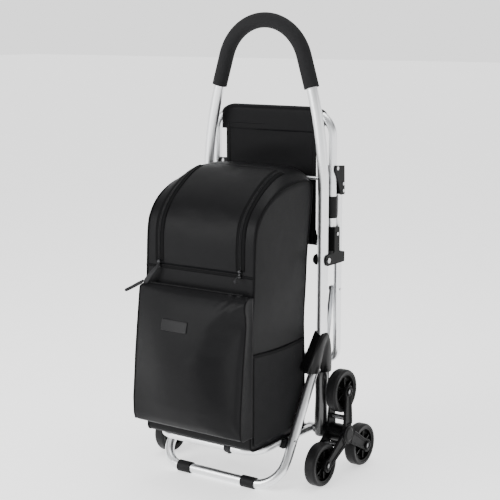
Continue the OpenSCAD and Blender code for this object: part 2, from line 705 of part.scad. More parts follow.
handle_tube();
handle_grip();
tie_rod();
bracket_outer("left");  // bracket_outer_left
bracket_outer("right");  // bracket_outer_right
bracket_inner("left");  // bracket_inner_left
bracket_inner("right");  // bracket_inner_right
lower_leg("left");  // lower_leg_left
lower_leg("right");  // lower_leg_right
lower_leg_caps();
axle_shaft();
front_stand();
foot_sleeve("left");  // foot_sleeve_left
foot_sleeve("right");  // foot_sleeve_right
stand_clips();
frame_rivets();
pivot_pins();
platform_loop();
bag_body();
bag_pocket();
side_pockets();
bag_base_board();
bag_hooks();
zip_pulls();
label_patch();
bag_lid();
seat_frame();
seat_bar();
seat_sling();
seat_sleeves();
hinge_bracket("left");  // hinge_bracket_left
hinge_bracket("right");  // hinge_bracket_right
seat_rivets();
rear_leg_frame();
leg_bracket("left");  // leg_bracket_left
leg_bracket("right");  // leg_bracket_right
leg_rivets();
stay("left");  // stay_left
stay("right");  // stay_right
carrier_outer("left");  // carrier_outer_left
carrier_outer("right");  // carrier_outer_right
carrier_inner("left");  // carrier_inner_left
carrier_inner("right");  // carrier_inner_right
cluster_bolts("left");  // cluster_bolts_left
cluster_bolts("right");  // cluster_bolts_right
hub_cap("left");  // hub_cap_left
hub_cap("right");  // hub_cap_right
for (s = ["left", "right"], p = ["front", "rear", "top"]) {
    rim(s, p);
    tyre(s, p);
}
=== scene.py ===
"""Looks for the folding stair-climbing shopping trolley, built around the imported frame.

Every piece is in metres in the frame's own axes: +X right, -Y the bag side, +Z up, floor at z = 0.
"""

from __future__ import annotations

import logging
import math
from dataclasses import dataclass
from enum import Enum
from typing import Callable, Optional, Sequence, Union

import bpy
import numpy as np
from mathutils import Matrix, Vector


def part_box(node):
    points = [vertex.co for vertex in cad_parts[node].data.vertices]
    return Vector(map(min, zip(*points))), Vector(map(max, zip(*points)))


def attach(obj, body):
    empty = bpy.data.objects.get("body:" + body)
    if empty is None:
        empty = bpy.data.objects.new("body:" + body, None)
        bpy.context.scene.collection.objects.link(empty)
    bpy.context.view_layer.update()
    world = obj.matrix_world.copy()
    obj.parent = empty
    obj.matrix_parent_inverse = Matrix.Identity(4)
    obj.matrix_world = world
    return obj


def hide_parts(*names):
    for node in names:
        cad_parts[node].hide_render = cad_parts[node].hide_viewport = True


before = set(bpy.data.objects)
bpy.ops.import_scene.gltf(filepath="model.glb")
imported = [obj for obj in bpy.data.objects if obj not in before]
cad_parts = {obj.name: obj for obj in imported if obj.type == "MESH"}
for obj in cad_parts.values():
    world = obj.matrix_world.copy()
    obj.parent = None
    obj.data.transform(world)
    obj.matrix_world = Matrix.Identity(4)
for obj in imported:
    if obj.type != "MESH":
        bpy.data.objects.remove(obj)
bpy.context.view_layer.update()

log = logging.getLogger("trolley")

Colour = tuple[float, float, float]
Face = Callable[[np.ndarray, np.ndarray], np.ndarray]
MM = 0.001

# Where a Mix node set to colour has its two colours in and its colour out
MIX_FIRST, MIX_SECOND, MIX_COLOUR = 6, 7, 2


# ---- shader graph ----


class Sock:
    """One output socket that takes part in Python arithmetic; each operation adds a Math node."""

    def __init__(self, graph: "Graph", socket: bpy.types.NodeSocket) -> None:
        """Wraps a socket.

        Args:
            graph: The graph that new nodes are added to.
            socket: The output socket.
        """
        self.graph = graph
        self.socket = socket

    def _math(self, operation: str, *values: "Value") -> "Sock":
        """Adds one Math node and returns its output."""
        return self.graph.node("ShaderNodeMath", {"operation": operation}, dict(enumerate(values)))

    def __add__(self, other: "Value") -> "Sock":
        """Sum."""
        return self._math("ADD", self, other)

    def __radd__(self, other: float) -> "Sock":
        """Sum, reflected."""
        return self._math("ADD", other, self)

    def __sub__(self, other: "Value") -> "Sock":
        """Difference."""
        return self._math("SUBTRACT", self, other)

    def __rsub__(self, other: float) -> "Sock":
        """Difference, reflected."""
        return self._math("SUBTRACT", other, self)

    def __mul__(self, other: "Value") -> "Sock":
        """Product."""
        return self._math("MULTIPLY", self, other)

    def __rmul__(self, other: float) -> "Sock":
        """Product, reflected."""
        return self._math("MULTIPLY", other, self)

    def __truediv__(self, other: "Value") -> "Sock":
        """Quotient."""
        return self._math("DIVIDE", self, other)

    def __pow__(self, other: float) -> "Sock":
        """Power."""
        return self._math("POWER", self, other)

    def sine(self) -> "Sock":
        """Sine of the value in radians."""
        return self._math("SINE", self)

    def absolute(self) -> "Sock":
        """Absolute value."""
        return self._math("ABSOLUTE", self)

    def smooth_step(self, low: float, high: float) -> "Sock":
        """Ramp from 0 at low to 1 at high with soft ends.

        Args:
            low: Value that gives 0.
            high: Value that gives 1.

        Returns:
            The ramp.
        """
        return self.graph.node(
            "ShaderNodeMapRange",
            {"interpolation_type": "SMOOTHSTEP"},
            {"Value": self, "From Min": low, "From Max": high},
        )


Value = Union[float, Sock]


class Graph:
    """The node tree of one material."""

    def __init__(self, name: str) -> None:
        """Starts a material with an empty tree and its Principled shader.

        Args:
            name: The material's name.
        """
        self.material = bpy.data.materials.new(name)
        self.material.use_nodes = True
        self.tree = self.material.node_tree
        self.tree.nodes.clear()
        self.shader = self.tree.nodes.new("ShaderNodeBsdfPrincipled")
        output = self.tree.nodes.new("ShaderNodeOutputMaterial")
        self.tree.links.new(self.shader.outputs[0], output.inputs[0])

    def node(self, kind: str, settings: dict, inputs: dict, out: Union[int, str] = 0) -> Sock:
        """Adds any node.

        Args:
            kind: The node's type name.
            settings: Attributes set first; "stops" lists a ramp's (position, colour) pairs.
            inputs: Socket index or name to a value, colour or Sock.
            out: Output socket index or name.

        Returns:
            The chosen output.
        """
        made = self.tree.nodes.new(kind)
        for key, value in settings.items():
            if key == "stops":
                for i, (position, colour) in enumerate(value):
                    stop = made.color_ramp.elements[i] if i < 2 else made.color_ramp.elements.new(position)
                    stop.position = position
                    stop.color = (*colour, 1.0)
            else:
                setattr(made, key, value)
        for key, value in inputs.items():
            self._feed(made.inputs[key], value)
        return Sock(self, made.outputs[out])

    def _feed(self, socket: bpy.types.NodeSocket, value: object) -> None:
        """Links a Sock to a socket, or sets the socket's own value.

        Args:
            socket: The input socket.
            value: A Sock, or a constant.
        """
        if isinstance(value, Sock):
            self.tree.links.new(value.socket, socket)
        elif isinstance(value, tuple) and len(value) == 3 and socket.type == "RGBA":
            socket.default_value = (*value, 1.0)
        else:
            socket.default_value = value

    def set(self, **values: object) -> None:
        """Sets or links the shader's sockets; underscores in names stand for spaces."""
        for key, value in values.items():
            self._feed(self.shader.inputs[key.replace("_", " ")], value)

    def coords(self, space: str = "Object", scale: tuple = (1.0, 1.0, 1.0)) -> Sock:
        """Texture coordinates.

        Args:
            space: Object or UV.
            scale: Scale on each axis, in cycles per metre.

        Returns:
            The scaled vector.
        """
        base = self.node("ShaderNodeTexCoord", {}, {}, space)
        return self.node("ShaderNodeMapping", {}, {"Vector": base, "Scale": scale})

    def noise(self, at: Sock, scale: float, detail: float = 2.0, rough: float = 0.5) -> Sock:
        """Noise between 0 and 1.

        Args:
            at: Coordinates.
            scale: Cycles per unit of the coordinates.
            detail: Octaves.
            rough: How much each octave keeps.

        Returns:
            The noise value.
        """
        return self.node(
            "ShaderNodeTexNoise", {}, {"Vector": at, "Scale": scale, "Detail": detail, "Roughness": rough}
        )

    def split(self, vector: Sock) -> tuple[Sock, Sock, Sock]:
        """The three parts of a vector."""
        made = self.node("ShaderNodeSeparateXYZ", {}, {0: vector})
        return tuple(Sock(self, out) for out in made.socket.node.outputs)

    def blend(self, a: Colour, b: Colour, factor: Value) -> Sock:
        """Colour a where the factor is 0 and b where it is 1."""
        made = self.node("ShaderNodeMix", {"data_type": "RGBA"}, {0: factor, 6: (*a, 1.0), 7: (*b, 1.0)}, 2)
        return made

    def bump(self, height: Sock, distance: float, strength: float = 1.0) -> Sock:
        """Normal from a height in 0 to 1.

        Args:
            height: The height.
            distance: Metres between heights 0 and 1.
            strength: Share of the effect.

        Returns:
            The normal.
        """
        return self.node(
            "ShaderNodeBump", {}, {"Height": height, "Distance": distance, "Strength": strength}
        )


# ---- finishes ----


@dataclass(frozen=True)
class TubeFinish:
    """Satin anodised aluminium: faint streaks along the tube and soft clouding."""

    name: str
    colour: Colour = (0.86, 0.87, 0.88)
    roughness: float = 0.32
    streak_axis: int = 2

    def material(self) -> bpy.types.Material:
        """Builds the material.

        Returns:
            The material.
        """
        g = Graph(self.name)
        scale = [900.0, 900.0, 900.0]
        scale[self.streak_axis] = 14.0
        streaks = g.noise(g.coords(scale=tuple(scale)), 1.0, 3.0, 0.6)
        cloud = g.noise(g.coords(), 22.0, 2.0)
        low = tuple(0.93 * c for c in self.colour)
        g.set(
            Base_Color=g.blend(low, self.colour, cloud),
            Metallic=1.0,
            Roughness=self.roughness + (streaks - 0.5) * 0.10 + (cloud - 0.5) * 0.05,
            Normal=g.bump(streaks, 0.00004, 0.5),
        )
        return g.material


@dataclass(frozen=True)
class SteelFinish:
    """Zinc-plated steel: brighter, with fine turning marks."""

    name: str
    colour: Colour = (0.66, 0.66, 0.67)
    roughness: float = 0.26

    def material(self) -> bpy.types.Material:
        """Builds the material.

        Returns:
            The material.
        """
        g = Graph(self.name)
        grain = g.noise(g.coords(), 1500.0, 3.0)
        cloud = g.noise(g.coords(), 90.0, 2.0)
        low = tuple(0.8 * c for c in self.colour)
        g.set(
            Base_Color=g.blend(low, self.colour, cloud),
            Metallic=1.0,
            Roughness=self.roughness + (grain - 0.5) * 0.2,
            Normal=g.bump(grain, 0.00003, 0.4),
        )
        return g.material


@dataclass(frozen=True)
class MouldedFinish:
    """Moulded or coated black surface: spark-eroded grain, slight colour drift and dust-dulled patches."""

    name: str
    colour: Colour = (0.0024, 0.0024, 0.0026)
    roughness: float = 0.36
    grain_mm: float = 0.5
    grain_depth: float = 0.00006
    drift: float = 0.35
    coat: float = 0.0
    shine: float = 0.08

    def material(self) -> bpy.types.Material:
        """Builds the material.

        Returns:
            The material.
        """
        g = Graph(self.name)
        grain = g.noise(g.coords(), 1000.0 / self.grain_mm, 3.0, 0.6)
        patch = g.noise(g.coords(), 28.0, 3.0)
        light = tuple(c * (1.0 + self.drift) + 0.001 for c in self.colour)
        g.set(
            Base_Color=g.blend(self.colour, light, patch),
            Roughness=self.roughness + (grain - 0.5) * 0.12 + (patch - 0.5) * 0.10,
            Coat_Weight=self.coat,
            Coat_Roughness=0.12,
            Specular_IOR_Level=self.shine,
            Normal=g.bump(grain, self.grain_depth, 0.7),
        )
        return g.material


@dataclass(frozen=True)
class FoamFinish:
    """Closed-cell foam: open skin of small cells with rubbed highlights."""

    name: str
    colour: Colour = (0.007, 0.007, 0.0075)

    def material(self) -> bpy.types.Material:
        """Builds the material.

        Returns:
            The material.
        """
        g = Graph(self.name)
        cells = g.node(
            "ShaderNodeTexVoronoi", {}, {"Vector": g.coords(), "Scale": 900.0}, "Distance"
        )
        soft = g.noise(g.coords(), 180.0, 3.0)
        rubbed = tuple(1.9 * c for c in self.colour)
        g.set(
            Base_Color=g.blend(self.colour, rubbed, soft),
            Roughness=0.80 + (soft - 0.5) * 0.16,
            Specular_IOR_Level=0.15,
            Normal=g.bump(cells * 0.7 + soft * 0.5, 0.00018, 0.8),
        )
        return g.material


class Weave(Enum):
    """How a cloth is woven or knitted."""

    PLAIN = "plain"
    TWILL = "twill"
    MESH = "mesh"


@dataclass(frozen=True)
class ClothFinish:
    """Woven or knitted cloth on the piece's own UV map, whose units are metres.

    The threads are two sine waves across the cloth; a twill shifts each row, and a mesh leaves round holes.
    """

    name: str
    colour: Colour = (0.012, 0.012, 0.013)
    roughness: float = 0.55
    thread_mm: float = 0.55
    weave: Weave = Weave.PLAIN
    depth: float = 0.00005
    sheen: float = 0.25
    coat: float = 0.0
    wrinkle: float = 0.0008
    shine: float = 0.16

    def material(self) -> bpy.types.Material:
        """Builds the material.

        Returns:
            The material.
        """
        g = Graph(self.name)
        uv = g.coords("UV")
        u, v, _ = g.split(uv)
        turns = 2.0 * math.pi / (self.thread_mm * MM)
        along = u * turns + v * turns * 0.5 if self.weave is Weave.TWILL else u * turns
        warp = along.sine()
        weft = (v * turns).sine()
        if self.weave is Weave.MESH:
            holes = (warp * weft).absolute().smooth_step(0.25, 0.7)
            height = 1.0 - holes
            pattern = holes
        else:
            height = (warp * weft) * 0.5 + 0.5
            pattern = height
        soft = g.noise(g.coords(), 34.0, 4.0, 0.55)
        fine = g.noise(g.coords(), 1400.0, 2.0)
        light = tuple(1.5 * c + 0.0008 for c in self.colour)
        dark = tuple(0.55 * c for c in self.colour)
        tone = pattern * 0.35 + soft * 0.45 + fine * 0.2
        if self.weave is Weave.MESH:
            tone = (1.0 - pattern) * 0.9 + fine * 0.1
        creases = g.bump(soft, self.wrinkle, 0.5)
        threads = g.node(
            "ShaderNodeBump",
            {},
            {"Height": height, "Distance": self.depth, "Strength": 0.8, "Normal": creases},
        )
        g.set(
            Base_Color=g.blend(dark, light, tone),
            Roughness=self.roughness + (soft - 0.5) * 0.14 + (fine - 0.5) * 0.08,
            Sheen_Weight=self.sheen,
            Sheen_Roughness=0.45,
            Coat_Weight=self.coat,
            Coat_Roughness=0.3,
            Specular_IOR_Level=self.shine,
            Normal=threads,
        )
        return g.material


@dataclass(frozen=True)
class RubberFinish:
    """Soft tyre or foot rubber: fine matt grain with scuffed, paler patches."""

    name: str
    colour: Colour = (0.0060, 0.0060, 0.0064)
    roughness: float = 0.50

    def material(self) -> bpy.types.Material:
        """Builds the material.

        Returns:
            The material.
        """
        g = Graph(self.name)
        grain = g.noise(g.coords(), 1600.0, 4.0, 0.65)
        scuff = g.noise(g.coords(), 60.0, 5.0, 0.7).smooth_step(0.45, 0.75)
        pale = tuple(1.6 * c + 0.001 for c in self.colour)
        g.set(
            Base_Color=g.blend(self.colour, pale, scuff),
            Roughness=self.roughness + (grain - 0.5) * 0.15 + scuff * 0.08,
            Specular_IOR_Level=0.14,
            Normal=g.bump(grain, 0.00007, 0.6),
        )
        return g.material


# ---- studio ----


@dataclass
class Studio:
    """Pale floor, soft lights and the camera."""

    camera_at: tuple[float, float, float] = (1.6765, -2.3615, 1.0359)
    azimuth: float = 35.05
    pitch: float = 10.06
    lens: float = 91.9
    floor_size: float = 60.0

    def camera(self) -> None:
        """Places the camera and makes it the scene's."""
        data = bpy.data.cameras.new("view")
        data.lens = self.lens
        data.sensor_width = 36.0
        camera = bpy.data.objects.new("view", data)
        camera.location = self.camera_at
        camera.rotation_euler = (math.radians(90.0 - self.pitch), 0.0, math.radians(self.azimuth))
        bpy.context.scene.collection.objects.link(camera)
        bpy.context.scene.camera = camera

    def floor(self) -> None:
        """A wide flat floor just under the wheels, as a grid of x by y."""
        half = self.floor_size / 2
        side = np.linspace(-half, half, 9)
        points = np.stack(np.broadcast_arrays(side[:, None], side[None, :], -0.0005), axis=-1)
        sweep = grid_object("floor", points)
        g = Graph("floor_paper")
        cloud = g.noise(g.coords(), 3.0, 2.0)
        g.set(
            Base_Color=g.blend((0.90, 0.90, 0.90), (0.93, 0.93, 0.93), cloud),
            Roughness=0.8,
            Emission_Color=(1.0, 1.0, 1.0),
            Emission_Strength=1.10,
        )
        sweep.data.materials.append(g.material)

    def lamp(self, name: str, at: Sequence[float], size: float, power: float) -> None:
        """Adds one square soft light that faces the trolley's middle.

        Args:
            name: The lamp's name.
            at: Its place.
            size: Side of the square in metres.
            power: Watts.
        """
        data = bpy.data.lights.new(name, "AREA")
        data.size = size
        data.energy = power
        lamp = bpy.data.objects.new(name, data)
        lamp.location = at
        away = np.array(at) - np.array((0.0, 0.0, 0.5))
        lamp.rotation_euler = (
            math.atan2(math.hypot(away[0], away[1]), away[2]),
            0.0,
            math.atan2(away[1], away[0]) + math.pi / 2,
        )
        bpy.context.scene.collection.objects.link(lamp)

    def lights(self) -> None:
        """Key from the left front, fill from the right, a top light and a pale surround."""
        self.lamp("key", (-1.5, -2.95, 1.9), 1.9, 108.0)
        self.lamp("fill", (2.8, 0.9, 1.5), 1.2, 5.0)
        self.lamp("top", (0.1, 0.2, 3.2), 2.0, 45.0)
        bpy.context.scene.world = self.surround()

    def surround(self) -> bpy.types.World:
        """A pale room with two dark sides, so that bright tubes show their edges, and a dimmer front.

        The brightness falls where the direction's part along the view's width passes about half of its
        length, and then by a ramp of its part towards the viewer. Near the horizon the room is evenly
        pale, and the two blend by a ramp of the direction's height.

        Returns:
            The world.
        """
        world = bpy.data.worlds.new("surround")
        world.use_nodes = True
        tree = world.node_tree
        turn = math.radians(self.azimuth)
        coordinate = tree.nodes.new("ShaderNodeTexCoord")
        across = tree.nodes.new("ShaderNodeVectorMath")
        across.operation = "DOT_PRODUCT"
        across.inputs[1].default_value = (math.cos(turn), math.sin(turn), 0.0)
        ramp = tree.nodes.new("ShaderNodeValToRGB")
        ramp.color_ramp.interpolation = "EASE"
        shift = tree.nodes.new("ShaderNodeMath")
        shift.operation = "MULTIPLY_ADD"
        shift.inputs[1].default_value = 0.5
        shift.inputs[2].default_value = 0.5
        tree.links.new(coordinate.outputs["Generated"], across.inputs[0])
        tree.links.new(across.outputs["Value"], shift.inputs[0])
        tree.links.new(shift.outputs[0], ramp.inputs[0])
        stops = ((0.0, 0.10), (0.10, 0.12), (0.24, 1.0), (0.76, 1.0), (0.90, 0.10), (1.0, 0.08))
        ramp.color_ramp.elements[0].position = stops[0][0]
        ramp.color_ramp.elements[1].position = stops[-1][0]
        for position, _ in stops[1:-1]:
            ramp.color_ramp.elements.new(position)
        for stop, (_, level) in zip(ramp.color_ramp.elements, stops):
            stop.color = (level, level, level, 1.0)
        ahead = tree.nodes.new("ShaderNodeVectorMath")
        ahead.operation = "DOT_PRODUCT"
        ahead.inputs[1].default_value = (math.sin(turn), -math.cos(turn), 0.0)
        front = tree.nodes.new("ShaderNodeMapRange")
        front.interpolation_type = "SMOOTHSTEP"
        front.inputs["From Min"].default_value = 0.1
        front.inputs["From Max"].default_value = 0.8
        front.inputs["To Min"].default_value = 1.0
        front.inputs["To Max"].default_value = 0.45
        both = tree.nodes.new("ShaderNodeMix")
        both.data_type = "RGBA"
        both.blend_type = "MULTIPLY"
        both.inputs[0].default_value = 1.0
        tree.links.new(coordinate.outputs["Generated"], ahead.inputs[0])
        tree.links.new(ahead.outputs["Value"], front.inputs["Value"])
        tree.links.new(ramp.outputs[0], both.inputs[MIX_FIRST])
        tree.links.new(front.outputs[0], both.inputs[MIX_SECOND])
        parts = tree.nodes.new("ShaderNodeSeparateXYZ")
        level = tree.nodes.new("ShaderNodeMath")
        level.operation = "ABSOLUTE"
        high = tree.nodes.new("ShaderNodeMapRange")
        high.interpolation_type = "SMOOTHSTEP"
        high.inputs["From Min"].default_value = 0.18
        high.inputs["From Max"].default_value = 0.36
        room = tree.nodes.new("ShaderNodeMix")
        room.data_type = "RGBA"
        room.inputs[MIX_FIRST].default_value = (1.5, 1.5, 1.5, 1.0)
        tree.links.new(coordinate.outputs["Generated"], parts.inputs[0])
        tree.links.new(parts.outputs[2], level.inputs[0])
        tree.links.new(level.outputs[0], high.inputs["Value"])
        tree.links.new(high.outputs[0], room.inputs[0])
        tree.links.new(both.outputs[MIX_COLOUR], room.inputs[MIX_SECOND])
        background = tree.nodes["Background"]
        tree.links.new(room.outputs[MIX_COLOUR], background.inputs[0])
        background.inputs[1].default_value = 1.10
        return world

    def build(self) -> None:
        """Builds the whole studio."""
        self.camera()
        self.floor()
        self.lights()


# ---- meshes ----


def grid_object(
    name: str,
    points: np.ndarray,
    wrap_u: bool = False,
    wrap_v: bool = False,
    flip: bool = False,
    poles: bool = False,
    cap_rows: int = 0,
) -> bpy.types.Object:
    """Makes a smooth mesh from a grid of points, with a UV map in metres.

    Args:
        name: Piece name.
        points: Array of rows by columns by 3.
        wrap_u: The last row joins the first.
        wrap_v: The last column joins the first.
        flip: Turn the faces over.
        poles: Close the first and last rows with fans to their middles.
        cap_rows: Rows at each end that are flat panels square to X, whose UV map is (y, z).

    Returns:
        The object, at the origin.
    """
    rows, cols = points.shape[:2]
    index = np.arange(rows * cols).reshape(rows, cols)
    i = np.arange(rows if wrap_u else rows - 1)
    j = np.arange(cols if wrap_v else cols - 1)
    near, far = index[np.ix_(i, j)], index[np.ix_((i + 1) % rows, j)]
    quads = np.stack(
        [near, far, index[np.ix_((i + 1) % rows, (j + 1) % cols)], index[np.ix_(i, (j + 1) % cols)]], axis=-1
    ).reshape(-1, 4)
    step_u = np.linalg.norm(np.diff(points, axis=0, append=points[:1]), axis=-1).mean(axis=1)
    step_v = np.linalg.norm(np.diff(points, axis=1, append=points[:, :1]), axis=-1).mean(axis=0)
    at_u = np.concatenate([[0.0], np.cumsum(step_u)])
    at_v = np.concatenate([[0.0], np.cumsum(step_v)])
    ua, va = np.broadcast_arrays(at_u[i][:, None], at_v[j][None, :])
    ub, vb = np.broadcast_arrays(at_u[i + 1][:, None], at_v[j + 1][None, :])
    uv = np.stack([np.stack(p, axis=-1) for p in ((ua, va), (ub, va), (ub, vb), (ua, vb))], axis=-2)
    flat = points.reshape(-1, 3)
    if cap_rows:
        on_cap = (i < cap_rows) | (i >= rows - cap_rows - 1)
        panel = flat[quads][..., 1:].reshape(len(i), len(j), 4, 2)
        uv = np.where(on_cap[:, None, None, None], panel, uv)
    uv = uv.reshape(-1, 4, 2)
    quads, uv = (quads[:, ::-1], uv[:, ::-1]) if flip else (quads, uv)
    faces, corners = quads.tolist(), uv.reshape(-1, 2)
    if poles:
        tips = np.stack([points[0].mean(axis=0), points[-1].mean(axis=0)])
        k = np.arange(cols)
        turn = (k + 1) % cols
        fans = np.concatenate(
            [
                np.stack([np.full(cols, rows * cols), index[0, k], index[0, turn]], axis=-1),
                np.stack([np.full(cols, rows * cols + 1), index[-1, turn], index[-1, k]], axis=-1),
            ]
        )
        flat = np.vstack([flat, tips])
        fans = fans[:, ::-1] if flip else fans
        faces = faces + fans.tolist()
        corners = np.vstack([corners, flat[fans.ravel()][:, 1:]])
    mesh = bpy.data.meshes.new(name)
    mesh.from_pydata(flat.tolist(), [], faces)
    layer = mesh.uv_layers.new(name="cloth")
    layer.uv.foreach_set("vector", corners.astype(np.float32).ravel())
    mesh.polygons.foreach_set("use_smooth", np.ones(len(faces), dtype=bool))
    mesh.update()
    made = bpy.data.objects.new(name, mesh)
    bpy.context.scene.collection.objects.link(made)
    return made


# ---- curves and surfaces ----


def closed_spline(knots: np.ndarray, count: int) -> np.ndarray:
    """Even samples on a closed Catmull-Rom spline.

    Between knots 1 and 2, with neighbours 0 and 3, the curve at t is half of
    2*k1 + (k2-k0)*t + (2*k0-5*k1+4*k2-k3)*t^2 + (3*k1-k0-3*k2+k3)*t^3.

    Args:
        knots: Rows of points.
        count: Number of samples.

    Returns:
        The samples, evenly spaced by length.
    """
    t = np.linspace(0.0, 1.0, 24, endpoint=False)[None, :, None]
    k0, k1, k2, k3 = (np.roll(knots, s, axis=0)[:, None, :] for s in (1, 0, -1, -2))
    fine = 0.5 * (
        2 * k1 + (k2 - k0) * t + (2 * k0 - 5 * k1 + 4 * k2 - k3) * t**2 + (3 * k1 - k0 - 3 * k2 + k3) * t**3
    )
    return even_samples(fine.reshape(-1, knots.shape[1]), count, closed=True)


def even_samples(path: np.ndarray, count: int, closed: bool = False) -> np.ndarray:
    """Points spaced evenly by length along a polyline.

    Args:
        path: Rows of points.
        count: Number of samples.
        closed: The last point joins the first.

    Returns:
        The samples; a closed path doesn't repeat its first.
    """
    whole = np.vstack([path, path[:1]]) if closed else path
    along = np.concatenate([[0.0], np.cumsum(np.linalg.norm(np.diff(whole, axis=0), axis=1))])
    at = np.linspace(0.0, along[-1], count, endpoint=not closed)
    return np.stack([np.interp(at, along, whole[:, k]) for k in range(whole.shape[1])], axis=-1)


def smooth_step(x: np.ndarray, low: float, high: float) -> np.ndarray:
    """Cubic ramp 3t^2-2t^3 from 0 at low to 1 at high."""
    t = np.clip((x - low) / (high - low), 0.0, 1.0)
    return t * t * (3.0 - 2.0 * t)


def swept_tube(
    name: str,
    path: np.ndarray,
    radius: Union[float, np.ndarray],
    side: np.ndarray,
    closed: bool = False,
    segments: int = 10,
    flat: float = 1.0,
) -> bpy.types.Object:
    """A round or flattened cord along a path.

    At each point the section is radius*(cos a * side' + flat * sin a * n), where side' is side made square
    to the path and n is square to both. Open ends close to a point in three rows.

    Args:
        name: Piece name.
        path: Rows of points.
        radius: One radius, or one for each point.
        side: Direction of the section's first axis, one vector or one for each point.
        closed: The path is a loop.
        segments: Points round the section.
        flat: Height over width of the section.

    Returns:
        The object.
    """
    if closed:
        tangent = np.roll(path, -1, axis=0) - np.roll(path, 1, axis=0)
    else:
        tangent = np.gradient(path, axis=0)
    tangent = tangent / np.linalg.norm(tangent, axis=1, keepdims=True)
    first = np.broadcast_to(np.asarray(side, float), path.shape)
    first = first - tangent * np.sum(first * tangent, axis=1, keepdims=True)
    first = first / np.linalg.norm(first, axis=1, keepdims=True)
    second = np.cross(tangent, first)
    size = np.broadcast_to(np.asarray(radius, float), (len(path),)).copy()
    centre = path
    if not closed:
        ends = np.array([0.02, 0.6, 0.9])
        back = np.array([0.98, 0.75, 0.35])
        head = path[:1] - tangent[:1] * (back * size[0])[:, None]
        tail = path[-1:] + tangent[-1:] * (back[::-1] * size[-1])[:, None]
        centre = np.vstack([head, path, tail])
        first = np.vstack([np.repeat(first[:1], 3, 0), first, np.repeat(first[-1:], 3, 0)])
        second = np.vstack([np.repeat(second[:1], 3, 0), second, np.repeat(second[-1:], 3, 0)])
        size = np.concatenate([ends * size[0], size, ends[::-1] * size[-1]])
    angle = np.linspace(0.0, 2.0 * math.pi, segments, endpoint=False)
    ring = (
        np.cos(angle)[None, :, None] * first[:, None, :]
        + flat * np.sin(angle)[None, :, None] * second[:, None, :]
    )
    points = centre[:, None, :] + size[:, None, None] * ring
    return grid_object(name, points, wrap_u=closed, wrap_v=True, poles=not closed)


def turned(
    name: str, profile: np.ndarray, centre: np.ndarray, axis: np.ndarray, segments: int = 40
) -> bpy.types.Object:
    """A turned form: each profile row goes round an axis, at centre + along*axis + radius*(cos a, sin a).

    Args:
        name: Piece name.
        profile: Rows of (place along the axis, radius); it starts and ends near the axis.
        centre: A point on the axis.
        axis: Direction of the axis, of length 1.
        segments: Points round the axis.

    Returns:
        The object, its ends closed.
    """
    first = np.roll(axis, 1)
    second = np.cross(axis, first)
    angle = np.linspace(0.0, 2.0 * math.pi, segments, endpoint=False)
    ring = np.cos(angle)[:, None] * first + np.sin(angle)[:, None] * second
    points = centre + profile[:, :1, None] * axis + profile[:, 1:, None] * ring
    return grid_object(name, points, wrap_v=True, poles=True, flip=profile[0, 0] > profile[-1, 0])


def set_material(piece: bpy.types.Object, finish: bpy.types.Material) -> bpy.types.Object:
    """Gives a piece one material and returns it."""
    piece.data.materials.clear()
    piece.data.materials.append(finish)
    return piece


def thicken(piece: bpy.types.Object, wall: float, offset: float = -1.0) -> bpy.types.Object:
    """Gives a sheet its wall and applies it.

    Args:
        piece: The sheet.
        wall: Thickness in metres.
        offset: -1 puts the wall behind the faces, 0 in the middle, 1 in front.

    Returns:
        The piece.
    """
    modifier = piece.modifiers.new("wall", "SOLIDIFY")
    modifier.thickness = wall
    modifier.offset = offset
    modifier.use_even_offset = False
    return apply_modifiers(piece)


def apply_modifiers(piece: bpy.types.Object) -> bpy.types.Object:
    """Replaces a piece's mesh by what its modifiers make of it.

    Args:
        piece: The piece.

    Returns:
        The same piece, with no modifiers left.
    """
    evaluated = piece.evaluated_get(bpy.context.evaluated_depsgraph_get())
    mesh = bpy.data.meshes.new_from_object(evaluated)
    piece.modifiers.clear()
    old = piece.data
    piece.data = mesh
    bpy.data.meshes.remove(old)
    return piece


def coordinates(mesh: bpy.types.Mesh) -> np.ndarray:
    """A mesh's points as rows."""
    out = np.empty(len(mesh.vertices) * 3, np.float32)
    mesh.vertices.foreach_get("co", out)
    return out.reshape(-1, 3).astype(float)


def inflate(piece: bpy.types.Object, pinned: np.ndarray, cap: np.ndarray, pressure: float = 4.0) -> None:
    """Fills a sewn form with air as cloth, and keeps each point within its cap.

    Args:
        piece: A closed form; its mesh is changed.
        pinned: True for each point that seams or boards hold.
        cap: Greatest travel of each point in metres.
        pressure: Air pressure of the simulation.
    """
    rest = coordinates(piece.data)
    group = piece.vertex_groups.new(name="held")
    group.add(np.flatnonzero(pinned).tolist(), 1.0, "REPLACE")
    modifier = piece.modifiers.new("cloth", "CLOTH")
    settings = modifier.settings
    settings.quality = 5
    settings.mass = 0.4
    settings.tension_stiffness = 30.0
    settings.compression_stiffness = 30.0
    settings.bending_stiffness = 4.0
    settings.vertex_group_mass = "held"
    settings.use_pressure = True
    settings.uniform_pressure_force = pressure
    settings.effector_weights.gravity = 0.0
    modifier.collision_settings.use_collision = False
    modifier.collision_settings.use_self_collision = False
    modifier.point_cache.frame_start = 1
    modifier.point_cache.frame_end = 20
    scene = bpy.context.scene
    scene.frame_start, scene.frame_end = 1, 20
    for frame_number in range(1, 21):
        scene.frame_set(frame_number)
    moved = coordinates(piece.evaluated_get(bpy.context.evaluated_depsgraph_get()).data)
    piece.modifiers.clear()
    piece.vertex_groups.clear()
    scene.frame_set(1)
    travel = moved - rest
    length = np.linalg.norm(travel, axis=1)
    limit = cap * np.tanh(length / np.maximum(cap, 1e-6))
    travel = travel * (limit / np.maximum(length, 1e-9))[:, None]
    travel[pinned] = 0.0
    piece.data.vertices.foreach_set("co", (rest + travel).astype(np.float32).ravel())
    piece.data.update()
    log.info("%s inflated: greatest travel %.1f mm", piece.name, float(limit.max()) * 1000.0)


